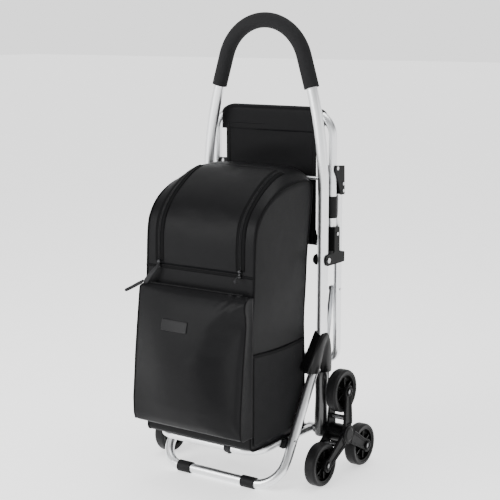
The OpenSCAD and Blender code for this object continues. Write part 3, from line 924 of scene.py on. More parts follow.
def keep_faces(piece: bpy.types.Object, keep: np.ndarray, name: str) -> bpy.types.Object:
    """Makes a new piece from some faces of another, with their UV map.

    Args:
        piece: The source; it stays.
        keep: True for each face to take.
        name: The new piece's name.

    Returns:
        The new object.
    """
    mesh = piece.data
    starts = np.empty(len(mesh.polygons), np.int32)
    totals = np.empty(len(mesh.polygons), np.int32)
    mesh.polygons.foreach_get("loop_start", starts)
    mesh.polygons.foreach_get("loop_total", totals)
    corner = np.empty(len(mesh.loops), np.int32)
    mesh.loops.foreach_get("vertex_index", corner)
    uv = np.empty(len(mesh.loops) * 2, np.float32)
    mesh.uv_layers["cloth"].uv.foreach_get("vector", uv)
    in_loop = np.repeat(keep, totals)
    used, index = np.unique(corner[in_loop], return_inverse=True)
    faces = np.split(index, np.cumsum(totals[keep])[:-1])
    made = bpy.data.meshes.new(name)
    made.from_pydata(coordinates(mesh)[used].tolist(), [], [f.tolist() for f in faces])
    layer = made.uv_layers.new(name="cloth")
    layer.uv.foreach_set("vector", uv.reshape(-1, 2)[in_loop].ravel())
    made.polygons.foreach_set("use_smooth", np.ones(len(made.polygons), dtype=bool))
    made.update()
    out = bpy.data.objects.new(name, made)
    bpy.context.scene.collection.objects.link(out)
    return out


def face_centres(mesh: bpy.types.Mesh) -> np.ndarray:
    """Centres of a mesh's faces as rows."""
    out = np.empty(len(mesh.polygons) * 3, np.float32)
    mesh.polygons.foreach_get("center", out)
    return out.reshape(-1, 3).astype(float)


# ---- the bag ----


@dataclass
class BagShell:
    """Body and lid of the bag, sewn as one form: a side outline carried across from edge to edge.

    Places are given from the wheel axle's middle (y) and the floor (z).
    """

    axle_y: float
    half_width_low: float = 0.1442
    half_width_high: float = 0.1478
    lid_half: float = 0.1110
    seam_z: float = 0.505
    lid_rear_y: float = -0.098
    crown: float = 0.030
    around: int = 264
    across: int = 51
    rings: int = 20
    wall: float = 0.0020
    outline: tuple[tuple[float, float], ...] = (
        (-0.060, 0.1115), (-0.150, 0.1115), (-0.246, 0.1117), (-0.2595, 0.1175), (-0.2625, 0.130),
        (-0.2610, 0.250), (-0.2575, 0.400), (-0.2530, 0.505), (-0.2480, 0.585), (-0.2345, 0.6225),
        (-0.2035, 0.654), (-0.156, 0.6765), (-0.100, 0.687), (-0.052, 0.690), (-0.033, 0.684),
        (-0.027, 0.668), (-0.030, 0.628), (-0.039, 0.570), (-0.047, 0.510), (-0.052, 0.390),
        (-0.048, 0.280), (-0.046, 0.170), (-0.049, 0.121),
    )

    def half_width(self, z: np.ndarray) -> np.ndarray:
        """Half the bag's width at a height: narrow between the side brackets, wider above them."""
        step = smooth_step(z, 0.35, 0.47)
        return self.half_width_low + (self.half_width_high - self.half_width_low) * step

    def profile(self) -> np.ndarray:
        """The side outline as even points of (y, z), from the bottom's rear round by the front and top."""
        return closed_spline(np.array(self.outline), self.around)

    def lift(self, outline: np.ndarray, share: np.ndarray) -> np.ndarray:
        """How far the middle stands above the edges.

        The lift is crown * ramp(y) on the top, and 3 mm on the front above the seam, times 1 - |share|^6.

        Args:
            outline: Points of the side outline, (y, z).
            share: Place across the bag, -1 to 1.

        Returns:
            Lift for each place across (rows) and outline point (columns).
        """
        y, z = outline[:, 0], outline[:, 1]
        top = smooth_step(z, 0.62, 0.672) * smooth_step(y, -0.225, -0.10) * self.crown
        front = 0.003 * smooth_step(z, 0.50, 0.56) * smooth_step(-y, 0.15, 0.2)
        return (1.0 - np.abs(share) ** 6)[:, None] * (top + front)[None, :]

    def band(self, share: np.ndarray) -> np.ndarray:
        """The outline carried across: point = outline + lift * outward normal, at x = share * half width.

        Args:
            share: Places across, -1 to 1.

        Returns:
            Rows (across) by columns (around) by 3.
        """
        outline = self.profile()
        along = np.roll(outline, -1, axis=0) - np.roll(outline, 1, axis=0)
        along = along / np.linalg.norm(along, axis=1, keepdims=True)
        outward = np.stack([-along[:, 1], along[:, 0]], axis=-1)
        middle = outline.mean(axis=0)
        if np.sum((outline - middle) * outward) < 0:
            outward = -outward
        lift = self.lift(outline, share)
        yz = outline[None] + lift[..., None] * outward[None]
        x = share[:, None] * self.half_width(outline[:, 1])[None, :]
        wave = 0.0006 * np.sin(yz[..., 1] * 95.0 + x * 31.0) * np.sin(x * 47.0 + 1.3)
        wave = wave * smooth_step(yz[..., 1], 0.50, 0.56) * (1.0 - np.abs(share) ** 4)[:, None]
        yz = yz + wave[..., None] * outward[None]
        return np.stack([x, yz[..., 0] + self.axle_y, yz[..., 1]], axis=-1)

    def side(self, sign: int) -> np.ndarray:
        """One side panel: rings that shrink towards the panel's middle as its face swells by 1 - r^2.

        Args:
            sign: -1 left, 1 right.

        Returns:
            Rings, from just inside the edge to near the middle.
        """
        edge = self.band(np.array([float(sign)]))[0]
        middle = np.array([0.0, -0.150 + self.axle_y, 0.395])
        r = np.linspace(1.0, 0.0, self.rings + 2)[1:-1][:, None]
        y = middle[1] + r * (edge[None, :, 1] - middle[1])
        z = middle[2] + r * (edge[None, :, 2] - middle[2])
        swell = 0.0035 * (1.0 - r**2) * smooth_step(z, 0.34, 0.46)
        x = sign * (self.half_width(z) + swell)
        return np.stack([x, y, z], axis=-1)

    def form(self) -> bpy.types.Object:
        """The whole closed form, inflated as cloth between its seams.

        Returns:
            The form, as one closed piece.
        """
        share = np.linspace(-1.0, 1.0, self.across)
        points = np.concatenate([self.side(-1)[::-1], self.band(share), self.side(1)])
        whole = grid_object("bag_form", points, wrap_v=True, poles=True, cap_rows=self.rings)
        at = coordinates(whole.data)
        x, y, z = at[:, 0], at[:, 1] - self.axle_y, at[:, 2]
        width = self.half_width(z)
        edge = np.abs(np.abs(x) - width) < 0.0002
        panel = np.abs(x) >= width - 0.0002
        zips = (np.abs(np.abs(x) - self.lid_half) < 0.0035) & (z > self.seam_z - 0.02)
        seam = (np.abs(z - self.seam_z) < 0.004) & (y < -0.2)
        board = (z < 0.135) | ((y > -0.062) & ~panel) | ((z < 0.47) & ~panel)
        on_edge = edge & np.isin(np.arange(len(at)), self.edge_points())
        held = zips | seam | board | panel | on_edge
        cap = np.full(len(at), 0.008)
        inflate(whole, held, cap)
        return whole

    def edge_points(self) -> np.ndarray:
        """Indices of the points on the two sewn edges, which are the band's first and last rows.

        Returns:
            The indices.
        """
        first = self.rings * self.around
        last = (self.rings + self.across - 1) * self.around
        ring = np.arange(self.around)
        return np.concatenate([first + ring, last + ring])

    def edge_path(self, sign: int) -> np.ndarray:
        """The sewn edge on one side, as a closed loop.

        Args:
            sign: -1 left, 1 right.

        Returns:
            Points round the edge.
        """
        return self.band(np.array([float(sign)]))[0]

    def line(self, x: float, proud: float = 0.0) -> np.ndarray:
        """A line over the bag at a given x, from the front seam to the lid's rear edge.

        Args:
            x: Place across.
            proud: Distance off the surface.

        Returns:
            Points along the line, evenly spaced.
        """
        width = self.half_width_high
        rows = self.band(np.array([x / width, x / width + 1e-3]))
        path = rows[0]
        y, z = path[:, 1] - self.axle_y, path[:, 2]
        inside = (z > self.seam_z + 0.0015) & (y < self.lid_rear_y)
        path = path[inside]
        path = even_samples(path, 160)
        along = np.gradient(path, axis=0)
        along = along / np.linalg.norm(along, axis=1, keepdims=True)
        outward = np.cross(along, np.array([1.0, 0.0, 0.0]))
        if outward[80, 2] < 0:
            outward = -outward
        return path + proud * outward

    def lid_faces(self, mesh: bpy.types.Mesh) -> tuple[np.ndarray, np.ndarray]:
        """Which faces of the form are lid, and which are body.

        Args:
            mesh: The form's mesh.

        Returns:
            Two masks; the faces between them are the open zip line.
        """
        at = face_centres(mesh)
        x, y, z = at[:, 0], at[:, 1] - self.axle_y, at[:, 2]
        above = (z > self.seam_z) & (y < self.lid_rear_y) & (np.abs(x) < self.lid_half)
        return above, ~above


@dataclass
class Pocket:
    """Front pocket: a pouch whose face fills out towards the bottom and turns away past a curved crest."""

    axle_y: float
    half_width: float = 0.1490
    top_z: float = 0.4600
    bottom_z: float = 0.1440
    back_y: float = -0.2585
    rows: int = 64
    face_columns: int = 62
    side_columns: int = 8
    swell: float = 0.031

    def edge_y(self, z: np.ndarray) -> np.ndarray:
        """Depth of the face at its side edges, by height."""
        knots_z = np.array([0.144, 0.150, 0.165, 0.200, 0.300, 0.400, 0.450, 0.4575, 0.4600])
        knots_y = np.array([-0.292, -0.3035, -0.3075, -0.3085, -0.2990, -0.2860, -0.2800, -0.2765, -0.2680])
        return np.interp(z, knots_z, knots_y)

    def crest(self, z: np.ndarray) -> np.ndarray:
        """Place of the crest across the face, 0 left to 1 right, by height."""
        knots_z = np.array([0.144, 0.160, 0.196, 0.257, 0.328, 0.375, 0.422, 0.451, 0.460])
        knots_s = np.array([0.84, 0.75, 0.65, 0.58, 0.56, 0.62, 0.77, 0.96, 1.00])
        return np.interp(z, knots_z, knots_s)

    def face_y(self, x: np.ndarray, z: np.ndarray) -> np.ndarray:
        """The face's depth: edge depth - swell(z) * (a^-5 + 1)^(-1/5) * b.

        Here a rises from the left edge, and b is a smooth step down past the crest, so the cloth turns away
        there and lies flat again before the right edge.

        Args:
            x: Places across.
            z: Heights.

        Returns:
            Places along y, from the axle.
        """
        s = np.clip((x + self.half_width) / (2 * self.half_width), 0.0, 1.0)
        height = np.clip((self.top_z - z) / (self.top_z - self.bottom_z), 0.0, 1.0)
        swell = self.swell * np.sin(math.pi * height**0.85) ** 0.7
        rise = np.clip(s / 0.36, 1e-3, None)
        crest = self.crest(z)
        fall = 1.0 - smooth_step(s, crest + 0.01, crest + 0.32)
        shape = (rise**-5 + 1.0) ** (-1 / 5) * fall
        sag = 0.0016 * np.sin(x * 22.0 + z * 9.0) * np.sin(math.pi * height)
        near_corner = np.exp(-(((x - 0.112) / 0.03) ** 2) - ((z - 0.437) / 0.016) ** 2)
        gather = 0.0013 * np.sin((x - z) * 260.0) * near_corner
        return self.edge_y(z) - swell * shape - sag - gather

    def pouch(self) -> bpy.types.Object:
        """The pouch: at each height a loop runs from the back round the side walls and over the face.

        Returns:
            The pouch, as one closed piece.
        """
        eased = 0.5 - 0.5 * np.cos(np.linspace(0.0, math.pi, self.rows))
        spread = 0.35 * eased + 0.65 * np.linspace(0, 1, self.rows)
        z = self.bottom_z + (self.top_z - self.bottom_z) * spread
        low = np.clip((z - self.bottom_z) / 0.006, 0.0, 1.0)
        high = np.clip((self.top_z - z) / 0.004, 0.0, 1.0)
        inset_low = 0.003 * (1.0 - np.sqrt(1.0 - (1.0 - low) ** 2))
        inset = inset_low + 0.002 * (1.0 - np.sqrt(1.0 - (1.0 - high) ** 2))
        half = self.half_width - inset
        corner = np.linspace(0.0, math.pi / 2, 5)
        r = 0.0035
        across = np.linspace(-1.0, 1.0, self.face_columns)
        wall = np.linspace(0.0, 1.0, self.side_columns)[:, None]
        face_x = across[:, None] * (half - r)[None, :]
        face = self.face_y(face_x, np.broadcast_to(z, face_x.shape))
        left_y = self.face_y(-half + r, z)
        right_y = self.face_y(half - r, z)
        left_x = np.broadcast_to(-half, (self.side_columns, self.rows))
        pinch = 0.003 * np.sin(math.pi * wall) * np.sin(math.pi * np.linspace(0, 1, self.rows))[None, :]
        left = (left_x + pinch, self.back_y + wall * (left_y + r - self.back_y)[None, :])
        right = (-left_x - pinch, self.back_y + wall * (right_y + r - self.back_y)[None, :])
        turn_l = (-half + r - r * np.cos(corner)[:, None], left_y + r - r * np.sin(corner)[:, None])
        turn_r = (half - r + r * np.cos(corner)[:, None], right_y + r - r * np.sin(corner)[:, None])
        x = np.vstack([left[0], turn_l[0][1:-1], face_x, turn_r[0][::-1][1:-1], right[0][::-1]])
        y = np.vstack([left[1], turn_l[1][1:-1], face, turn_r[1][::-1][1:-1], right[1][::-1]])
        points = np.stack([x, y + self.axle_y, np.broadcast_to(z, x.shape)], axis=-1).transpose(1, 0, 2)
        caps = np.linspace(1.0, 0.0, 9)[1:-1][:, None, None]
        base, lid = points[:1], points[-1:]
        mid_base = np.array([0.0, (self.back_y - 0.022) + self.axle_y, self.bottom_z])
        mid_lid = np.array([0.0, (self.back_y - 0.009) + self.axle_y, self.top_z + 0.002])
        under = mid_base + caps[::-1] * (base - mid_base)
        over = mid_lid + caps * (lid - mid_lid)
        whole = grid_object(
            "front_pocket", np.concatenate([under, points, over]), wrap_v=True, poles=True, flip=True
        )
        at = coordinates(whole.data)
        px, py, pz = at[:, 0], at[:, 1] - self.axle_y, at[:, 2]
        held = (np.abs(px) > self.half_width - 0.006) | (py > self.back_y - 0.002)
        held |= (pz > self.top_z - 0.006) | (pz < self.bottom_z + 0.006)
        held |= (np.abs(px + 0.0255) < 0.045) & (np.abs(pz - 0.3830) < 0.020)
        inflate(whole, held, np.full(len(at), 0.004), pressure=3.0)
        return whole

    def edge_path(self, sign: int) -> np.ndarray:
        """The sewn front edge on one side, from bottom to top.

        Args:
            sign: -1 left, 1 right.

        Returns:
            Points along the edge.
        """
        z = np.linspace(self.bottom_z + 0.005, self.top_z - 0.006, 90)
        x = np.full_like(z, sign * (self.half_width - 0.0006))
        y = self.face_y(np.full_like(z, sign * (self.half_width - 0.0035)), z) + 0.0008
        return np.stack([x, y + self.axle_y, z], axis=-1)


@dataclass
class SidePocket:
    """Open-topped mesh pocket sewn flat on a side panel, with a bound top edge that bows slightly."""

    shell: BagShell
    front_y: float = -0.2525
    rear_y: float = -0.056
    bottom_z: float = 0.1230
    top_z: float = 0.3260
    rows: int = 44
    columns: int = 42

    def points(self, sign: int, proud: float) -> np.ndarray:
        """The net's grid: it follows the side panel at a small distance, most at the middle of its mouth.

        Args:
            sign: -1 left, 1 right.
            proud: Distance off the panel.

        Returns:
            Rows (along y) by columns (along z) by 3.
        """
        y = np.linspace(self.front_y, self.rear_y, self.rows)[:, None]
        v = np.linspace(0.0, 1.0, self.columns)[None, :]
        across = (y - self.front_y) / (self.rear_y - self.front_y)
        top = self.top_z - 0.005 * np.sin(math.pi * across)
        z = self.bottom_z + v * (top - self.bottom_z)
        gap = 0.0012 * np.sin(math.pi * across) ** 0.5 * v**2
        x = sign * (self.shell.half_width(z) + proud + gap * (y < -0.10))
        return np.stack(np.broadcast_arrays(x, y + self.shell.axle_y, z), axis=-1)

    def build(self, sign: int, net: bpy.types.Material, trim: bpy.types.Material) -> list[bpy.types.Object]:
        """Makes the net and its binding.

        Args:
            sign: -1 left, 1 right.
            net: Material of the net.
            trim: Material of the binding.

        Returns:
            The net first, then its binding.
        """
        side = "left" if sign < 0 else "right"
        sheet = grid_object(f"side_net_{side}", self.points(sign, 0.0014), flip=sign > 0)
        thicken(sheet, 0.0006)
        set_material(sheet, net)
        grid = self.points(sign, 0.0016)
        name = f"side_net_binding_{side}"
        binding = swept_tube(name, grid[:, -1], 0.0042, (0, 0, 1), segments=12, flat=0.28)
        set_material(binding, trim)
        return [sheet, binding]


@dataclass
class Zipper:
    """Coil zip: a tape half and a coil half on each side of the opening line."""

    shell: BagShell
    tape: float = 0.0105
    coil_r: float = 0.0013
    pitch: float = 0.0022

    def tape_strip(self, name: str, x0: float, x1: float, proud: float) -> bpy.types.Object:
        """A strip of tape over the bag between two places across.

        Args:
            name: Piece name.
            x0: Edge at the opening line.
            x1: Sewn edge.
            proud: Distance off the surface.

        Returns:
            The strip, with its wall.
        """
        places = np.linspace(x0, x1, 6)
        lines = np.stack([self.shell.line(float(x), proud) for x in places])
        strip = grid_object(name, lines, flip=(x1 > x0))
        return thicken(strip, 0.0007, 0.0)

    def coil(self, name: str, x: float) -> bpy.types.Object:
        """One half of the coil: a cord whose radius swells once in each pitch.

        Args:
            name: Piece name.
            x: Place across.

        Returns:
            The coil half.
        """
        path = self.shell.line(x, 0.0012)
        length = float(np.linalg.norm(np.diff(path, axis=0), axis=1).sum())
        count = int(length / self.pitch) * 5
        path = even_samples(path, count)
        along = np.linspace(0.0, length, count)
        radius = self.coil_r * (1.0 + 0.28 * np.sin(2 * math.pi * along / self.pitch))
        return swept_tube(name, path, radius, (1, 0, 0), segments=8)


@dataclass
class Pull:
    """Zip slider with its ribbon pull, hanging down the bag's front."""

    shell: BagShell

    def slider(self, name: str, at: np.ndarray) -> bpy.types.Object:
        """The slider: a flattened body that narrows in the middle, along z.

        Args:
            name: Piece name.
            at: Middle of the slider.

        Returns:
            The slider.
        """
        s = np.linspace(0.0, 1.0, 15)
        path = at + np.stack([0 * s, 0.0004 * np.sin(math.pi * s), 0.011 * (s - 0.5)], axis=-1)
        radius = 0.0036 + 0.0012 * np.cos(2 * math.pi * s)
        return swept_tube(name, path, radius, (1, 0, 0), segments=14, flat=0.62)

    def ribbon(
        self, name: str, path: np.ndarray, side: np.ndarray, width: float, flat: float
    ) -> bpy.types.Object:
        """A ribbon end: a flattened cord that widens to its tip.

        Args:
            name: Piece name.
            path: Points along the ribbon.
            side: Direction of its width.
            width: Width at the tip.
            flat: Thickness as a share of the width.

        Returns:
            The ribbon.
        """
        count = len(path)
        radius = width / 2 * (0.72 + 0.28 * smooth_step(np.linspace(0, 1, count), 0.0, 0.35))
        return swept_tube(name, path, radius, side, segments=14, flat=flat)


@dataclass
class Bag:
    """The whole bag and lid, with zips, piping, pockets, label and pulls."""

    axle_y: float
    label_centre: tuple[float, float] = (-0.0255, 0.3830)
    label_size: tuple[float, float] = (0.074, 0.025)

    def __post_init__(self) -> None:
        """Builds the shapes' sizes and the finishes."""
        self.shell = BagShell(self.axle_y)
        self.pocket = Pocket(self.axle_y)
        self.cloth = ClothFinish(
            "bag_cloth", colour=(0.0029, 0.0029, 0.0034), roughness=0.44, sheen=0.0, shine=0.10
        ).material()
        trim_colour = (0.0025, 0.0025, 0.0028)
        self.lining = ClothFinish(
            "bag_trim", colour=trim_colour, roughness=0.60, sheen=0.0, shine=0.06
        ).material()
        self.tape = ClothFinish(
            "zip_tape", colour=trim_colour, roughness=0.65, sheen=0.0, shine=0.06,
            weave=Weave.TWILL, thread_mm=0.8,
        ).material()
        self.net = ClothFinish(
            "side_net", colour=(0.0060, 0.0060, 0.0066), roughness=0.60, sheen=0.0, shine=0.10,
            weave=Weave.MESH, thread_mm=2.4, depth=0.0002,
        ).material()
        self.ribbon = ClothFinish(
            "pull_webbing", colour=(0.012, 0.012, 0.013), roughness=0.5, weave=Weave.TWILL,
            thread_mm=0.9, sheen=0.0,
        ).material()
        hard = (0.006, 0.006, 0.0065)
        self.coil = MouldedFinish("zip_coil", colour=hard, roughness=0.34, shine=0.12).material()
        self.plate = MouldedFinish("label_plate", colour=hard, roughness=0.42, shine=0.15).material()
        self.metal = SteelFinish("slider_metal", colour=(0.05, 0.05, 0.052), roughness=0.35).material()

    def body_and_lid(self) -> None:
        """Cuts the inflated form into body and lid, and gives both their wall."""
        form = self.shell.form()
        lid_mask, body_mask = self.shell.lid_faces(form.data)
        body = keep_faces(form, body_mask, "bag_shell")
        lid = keep_faces(form, lid_mask, "bag_lid_panel")
        bpy.data.objects.remove(form)
        thicken(body, self.shell.wall)
        thicken(lid, self.shell.wall)
        set_material(body, self.cloth)
        set_material(lid, self.cloth)
        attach(body, "bag")
        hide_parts("bag_body")
        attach(lid, "lid")
        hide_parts("bag_lid")
        log.info("bag body and lid")

    def piping(self) -> None:
        """Cords in the two sewn edges of the bag and of the pocket's face."""
        for sign, side in ((-1, "left"), (1, "right")):
            path = even_samples(self.shell.edge_path(sign), 300, closed=True)
            cord = swept_tube(f"edge_piping_{side}", path, 0.0017, (1, 0, 0), closed=True)
            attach(set_material(cord, self.lining), "bag")
            edge = swept_tube(f"pocket_piping_{side}", self.pocket.edge_path(sign), 0.0016, (1, 0, 0))
            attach(set_material(edge, self.lining), "bag")

    def zips(self) -> None:
        """Both zips, half on the bag and half on the lid."""
        zipper = Zipper(self.shell)
        middle = self.shell.lid_half
        for sign, side in ((-1, "left"), (1, "right")):
            for body, way in (("bag", 1), ("lid", -1)):
                inner, outer = sign * (middle + way * 0.0008), sign * (middle + way * zipper.tape)
                strip = zipper.tape_strip(f"zip_tape_{body}_{side}", inner, outer, 0.0007)
                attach(set_material(strip, self.tape), body)
                coil = zipper.coil(f"zip_coil_{body}_{side}", sign * (middle + way * 0.0015))
                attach(set_material(coil, self.coil), body)
                seam = zipper.shell.line(sign * (middle + way * (zipper.tape + 0.0006)), 0.0006)
                bead = swept_tube(f"zip_seam_{body}_{side}", seam, 0.0009, (1, 0, 0), segments=8)
                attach(set_material(bead, self.lining), body)

    def seams(self) -> None:
        """The front seam under the lid: a flat binding right across the front."""
        share = np.linspace(-1.0, 1.0, 90)
        band = self.shell.band(share)
        z = band[0, :, 2]
        y = band[0, :, 1] - self.axle_y
        front = np.flatnonzero(y < -0.2)
        nearest = front[np.argmin(np.abs(z[front] - self.shell.seam_z))]
        path = band[:, nearest] + np.array([0.0, -0.0006, -0.0062])
        binding = swept_tube("front_seam_binding", path, 0.0032, (0, 0, 1), segments=12, flat=0.35)
        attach(set_material(binding, self.lining), "bag")

    def pockets(self) -> None:
        """The front pocket and both net pockets."""
        pouch = set_material(self.pocket.pouch(), self.cloth)
        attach(pouch, "bag")
        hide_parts("bag_pocket")
        x = np.linspace(-0.128, 0.128, 260)
        y = np.full_like(x, (self.pocket.back_y - 0.010) + self.axle_y)
        path = np.stack([x, y, np.full_like(x, self.pocket.top_z + 0.0022)], axis=-1)
        radius = 0.0016 * (1.0 + 0.25 * np.sin(np.arange(len(x)) * 1.3))
        coil = swept_tube("pocket_zip_coil", path, radius, (0, 1, 0), segments=8)
        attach(set_material(coil, self.coil), "bag")
        nets = SidePocket(self.shell)
        area_size = (nets.rear_y - nets.front_y, nets.top_z - nets.bottom_z)
        first: Optional[bpy.types.Object] = None
        for sign in (-1, 1):
            sheet, binding = nets.build(sign, self.net, self.lining)
            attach(sheet, "bag")
            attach(binding, "bag")
            first = first or sheet
        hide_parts("side_pockets")
        log.info("pockets")

    def label(self) -> None:
        """Blank label plate: a rounded plate that lies on the pocket's face, with a raised rim."""
        w, h = self.label_size
        u = np.linspace(-1.0, 1.0, 61)[:, None]
        v = np.linspace(-1.0, 1.0, 31)[None, :]
        squeeze = 1.0 - 0.035 * np.abs(v) ** 10
        x = self.label_centre[0] + u * w / 2 * squeeze
        z = self.label_centre[1] + v * h / 2 * (1.0 - 0.06 * np.abs(u) ** 24)
        near = np.maximum(np.abs(u), 1.0 - (1.0 - np.abs(v)) * h / w)
        rim = 0.0005 * np.exp(-(((near - 0.955) / 0.02) ** 2)) - 0.0006 * smooth_step(near, 0.975, 1.0)
        y = self.pocket.face_y(x, z) + self.axle_y - 0.0016 - rim
        plate = grid_object("label_plate", np.stack([x, y, z], axis=-1), flip=False)
        thicken(plate, 0.0040)
        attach(set_material(plate, self.plate), "bag")
        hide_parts("label_patch")

    def pulls(self) -> None:
        """Sliders with ribbon pulls at the zips' feet; the left has a long tab and a loose strap end."""
        pull = Pull(self.shell)
        first: Optional[bpy.types.Object] = None
        for sign, side in ((-1, "left"), (1, "right")):
            foot = self.shell.line(sign * self.shell.lid_half, 0.0040)[3] + np.array([0.0, 0.0, -0.0115])
            slider = pull.slider(f"slider_{side}", foot)
            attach(set_material(slider, self.metal), "bag")
            s = np.linspace(0.0, 1.0, 26)
            drop, out, width = (0.040, 0.026, 0.0120) if sign < 0 else (0.014, 0.002, 0.0060)
            path = foot + np.stack(
                [
                    sign * out * s**1.3,
                    -0.0050 - 0.014 * np.sin(math.pi * s * 0.7),
                    -0.003 - drop * s,
                ],
                axis=-1,
            )
            tab = pull.ribbon(f"pull_ribbon_{side}", path, np.array([1.0, 0.0, 0.1]), width, 0.26)
            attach(set_material(tab, self.ribbon), "bag")
            first = first or tab
        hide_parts("zip_pulls")
        s = np.linspace(0.0, 1.0, 30)
        start = np.array([-0.1420, -0.2760 + self.axle_y, 0.4650])
        path = start + np.stack([-0.040 * s, -0.012 * s + 0.004 * np.sin(math.pi * s), -0.024 * s], axis=-1)
        strap = pull.ribbon("corner_strap", path, np.array([0.1, -0.35, 1.0]), 0.0085, 0.24)
        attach(set_material(strap, self.ribbon), "bag")

    def build(self) -> None:
        """Builds every piece of the bag."""
        self.body_and_lid()
        self.piping()
        self.zips()
        self.seams()
        self.pockets()
        self.label()
        self.pulls()


# ---- the seat's cloth ----


@dataclass
class Sling:
    """Seat sling: a sleeve over the top tube, a stretched panel, and a hem round the front bar."""

    axle_y: float
    tube_y: float = 0.038
    tube_z: float = 0.835
    tube_r: float = 0.0118
    bend_x: float = 0.109
    bend_r: float = 0.054
    bar_y: float = 0.0336
    bar_z: float = 0.5360
    bar_r: float = 0.0054
    sleeve_half: float = 0.1390
    panel_half: float = 0.1250
    panel_top: float = 0.8050
    hem_z: float = 0.7900

    def tube_height(self, x: np.ndarray) -> np.ndarray:
        """Height of the top tube's middle: level, then down round its bends as a circle falls."""
        past = np.clip(np.abs(x) - self.bend_x, 0.0, None)
        return self.tube_z - self.bend_r + np.sqrt(self.bend_r**2 - past**2)

    def sleeve(self) -> bpy.types.Object:
        """The sleeve: from its front hem up, over the tube as a half circle, and down to its rear hem.

        Returns:
            The sleeve.
        """
        x = np.linspace(-self.sleeve_half, self.sleeve_half, 70)[:, None]
        height = self.tube_height(x)
        angle = np.linspace(math.pi, 0.0, 25)[None, :]
        r = self.tube_r + 0.0020
        down = np.linspace(0.0, 1.0, 12)[None, :]
        hem_z = self.hem_z
        z_front = hem_z + (height - hem_z) * down
        y_front = np.full(z_front.shape, self.tube_y - r)
        y_over = self.tube_y + r * np.cos(angle) + 0 * x
        z_over = height + r * np.sin(angle)
        z_rear = z_front[:, ::-1]
        drawn_in = smooth_step(1.0 - (z_rear - hem_z) / (height - hem_z), 0.25, 1.0)
        y_rear = self.tube_y + r - (2 * r - 0.003) * drawn_in
        y = np.hstack([y_front, y_over[:, 1:-1], y_rear])
        z = np.hstack([z_front, z_over[:, 1:-1], z_rear])
        points = np.stack([np.broadcast_to(x, y.shape), y + self.axle_y, z], axis=-1)
        piece = grid_object("sling_sleeve", points, flip=True)
        return thicken(piece, 0.0016, 1.0)

    def front_face(self, v: np.ndarray) -> np.ndarray:
        """The straight line down the panel's front, from the tube's front to the bar's front.

        Args:
            v: Share of the way down, 0 to 1.

        Returns:
            Places along y, from the axle.
        """
        start = self.tube_y - self.tube_r - 0.0014
        return start + (self.bar_y - self.bar_r - self.tube_y + self.tube_r) * v

    def panel(self) -> bpy.types.Object:
        """The panel: down from under the sleeve with a shallow sag, and round the front bar.

        Returns:
            The panel.
        """
        x = np.linspace(-self.panel_half, self.panel_half, 64)[:, None]
        v = np.linspace(0.0, 1.0, 80)[None, :]
        top, foot = self.panel_top, self.bar_z
        z_down = top + (foot - top) * v + 0 * x
        across = np.cos(0.5 * math.pi * x / self.panel_half)
        sag = 0.0035 * np.sin(math.pi * v) * across
        ripple = 0.0005 * np.sin(v * 26.0 + x * 9.0) * across
        face = self.front_face(v)
        y_down = face + sag + ripple
        angle = np.linspace(math.pi, 2.05 * math.pi, 16)[None, :]
        r = self.bar_r + 0.0014
        y_under = self.bar_y + r * np.cos(angle) + 0 * x
        z_under = foot + r * np.sin(angle) + 0 * x
        up = np.linspace(0.0, 1.0, 8)[None, 1:]
        z_up = foot + 0.028 * up + 0 * x
        y_up = self.bar_y + r - (2 * r - 0.004) * smooth_step(up, 0.0, 1.0) + 0 * x
        y = np.hstack([y_down, y_under[:, 1:], y_up])
        z = np.hstack([z_down, z_under[:, 1:], z_up])
        points = np.stack([np.broadcast_to(x, y.shape), y + self.axle_y, z], axis=-1)
        piece = grid_object("sling_panel", points, flip=False)
        return thicken(piece, 0.0012, 0.0)

    def binding(self, sign: int, finish: bpy.types.Material) -> bpy.types.Object:
        """The bound side edge of the panel: a flat cord down the edge.

        Args:
            sign: -1 left, 1 right.
            finish: Its material.

        Returns:
            The binding.
        """
        z = np.linspace(0.800, self.bar_z, 60)
        y = self.front_face((self.panel_top - z) / (self.panel_top - self.bar_z))
        x = np.full_like(z, sign * (self.panel_half - 0.0035))
        path = np.stack([x, y - 0.0004 + self.axle_y, z], axis=-1)
        side = "left" if sign < 0 else "right"
        return set_material(
            swept_tube(f"sling_binding_{side}", path, 0.0055, (1, 0, 0), segments=12, flat=0.24), finish
        )

    def build(self) -> None:
        """Builds the sling: its panel, sleeve and side bindings."""
        cloth = ClothFinish(
            "sling_cloth", colour=(0.0035, 0.0035, 0.0040), roughness=0.48, thread_mm=0.9,
            sheen=0.0, shine=0.07,
        ).material()
        trim = ClothFinish(
            "sling_trim", colour=(0.003, 0.003, 0.0034), roughness=0.55, shine=0.08, sheen=0.0,
            weave=Weave.TWILL,
        ).material()
        panel = set_material(self.panel(), cloth)
        sleeve = set_material(self.sleeve(), cloth)
        edges = [self.binding(sign, trim) for sign in (-1, 1)]
        for piece in [panel, sleeve, *edges]:
            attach(piece, "seat")
        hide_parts("seat_sling")
        log.info("seat sling")


# ---- the frame's moulded parts ----


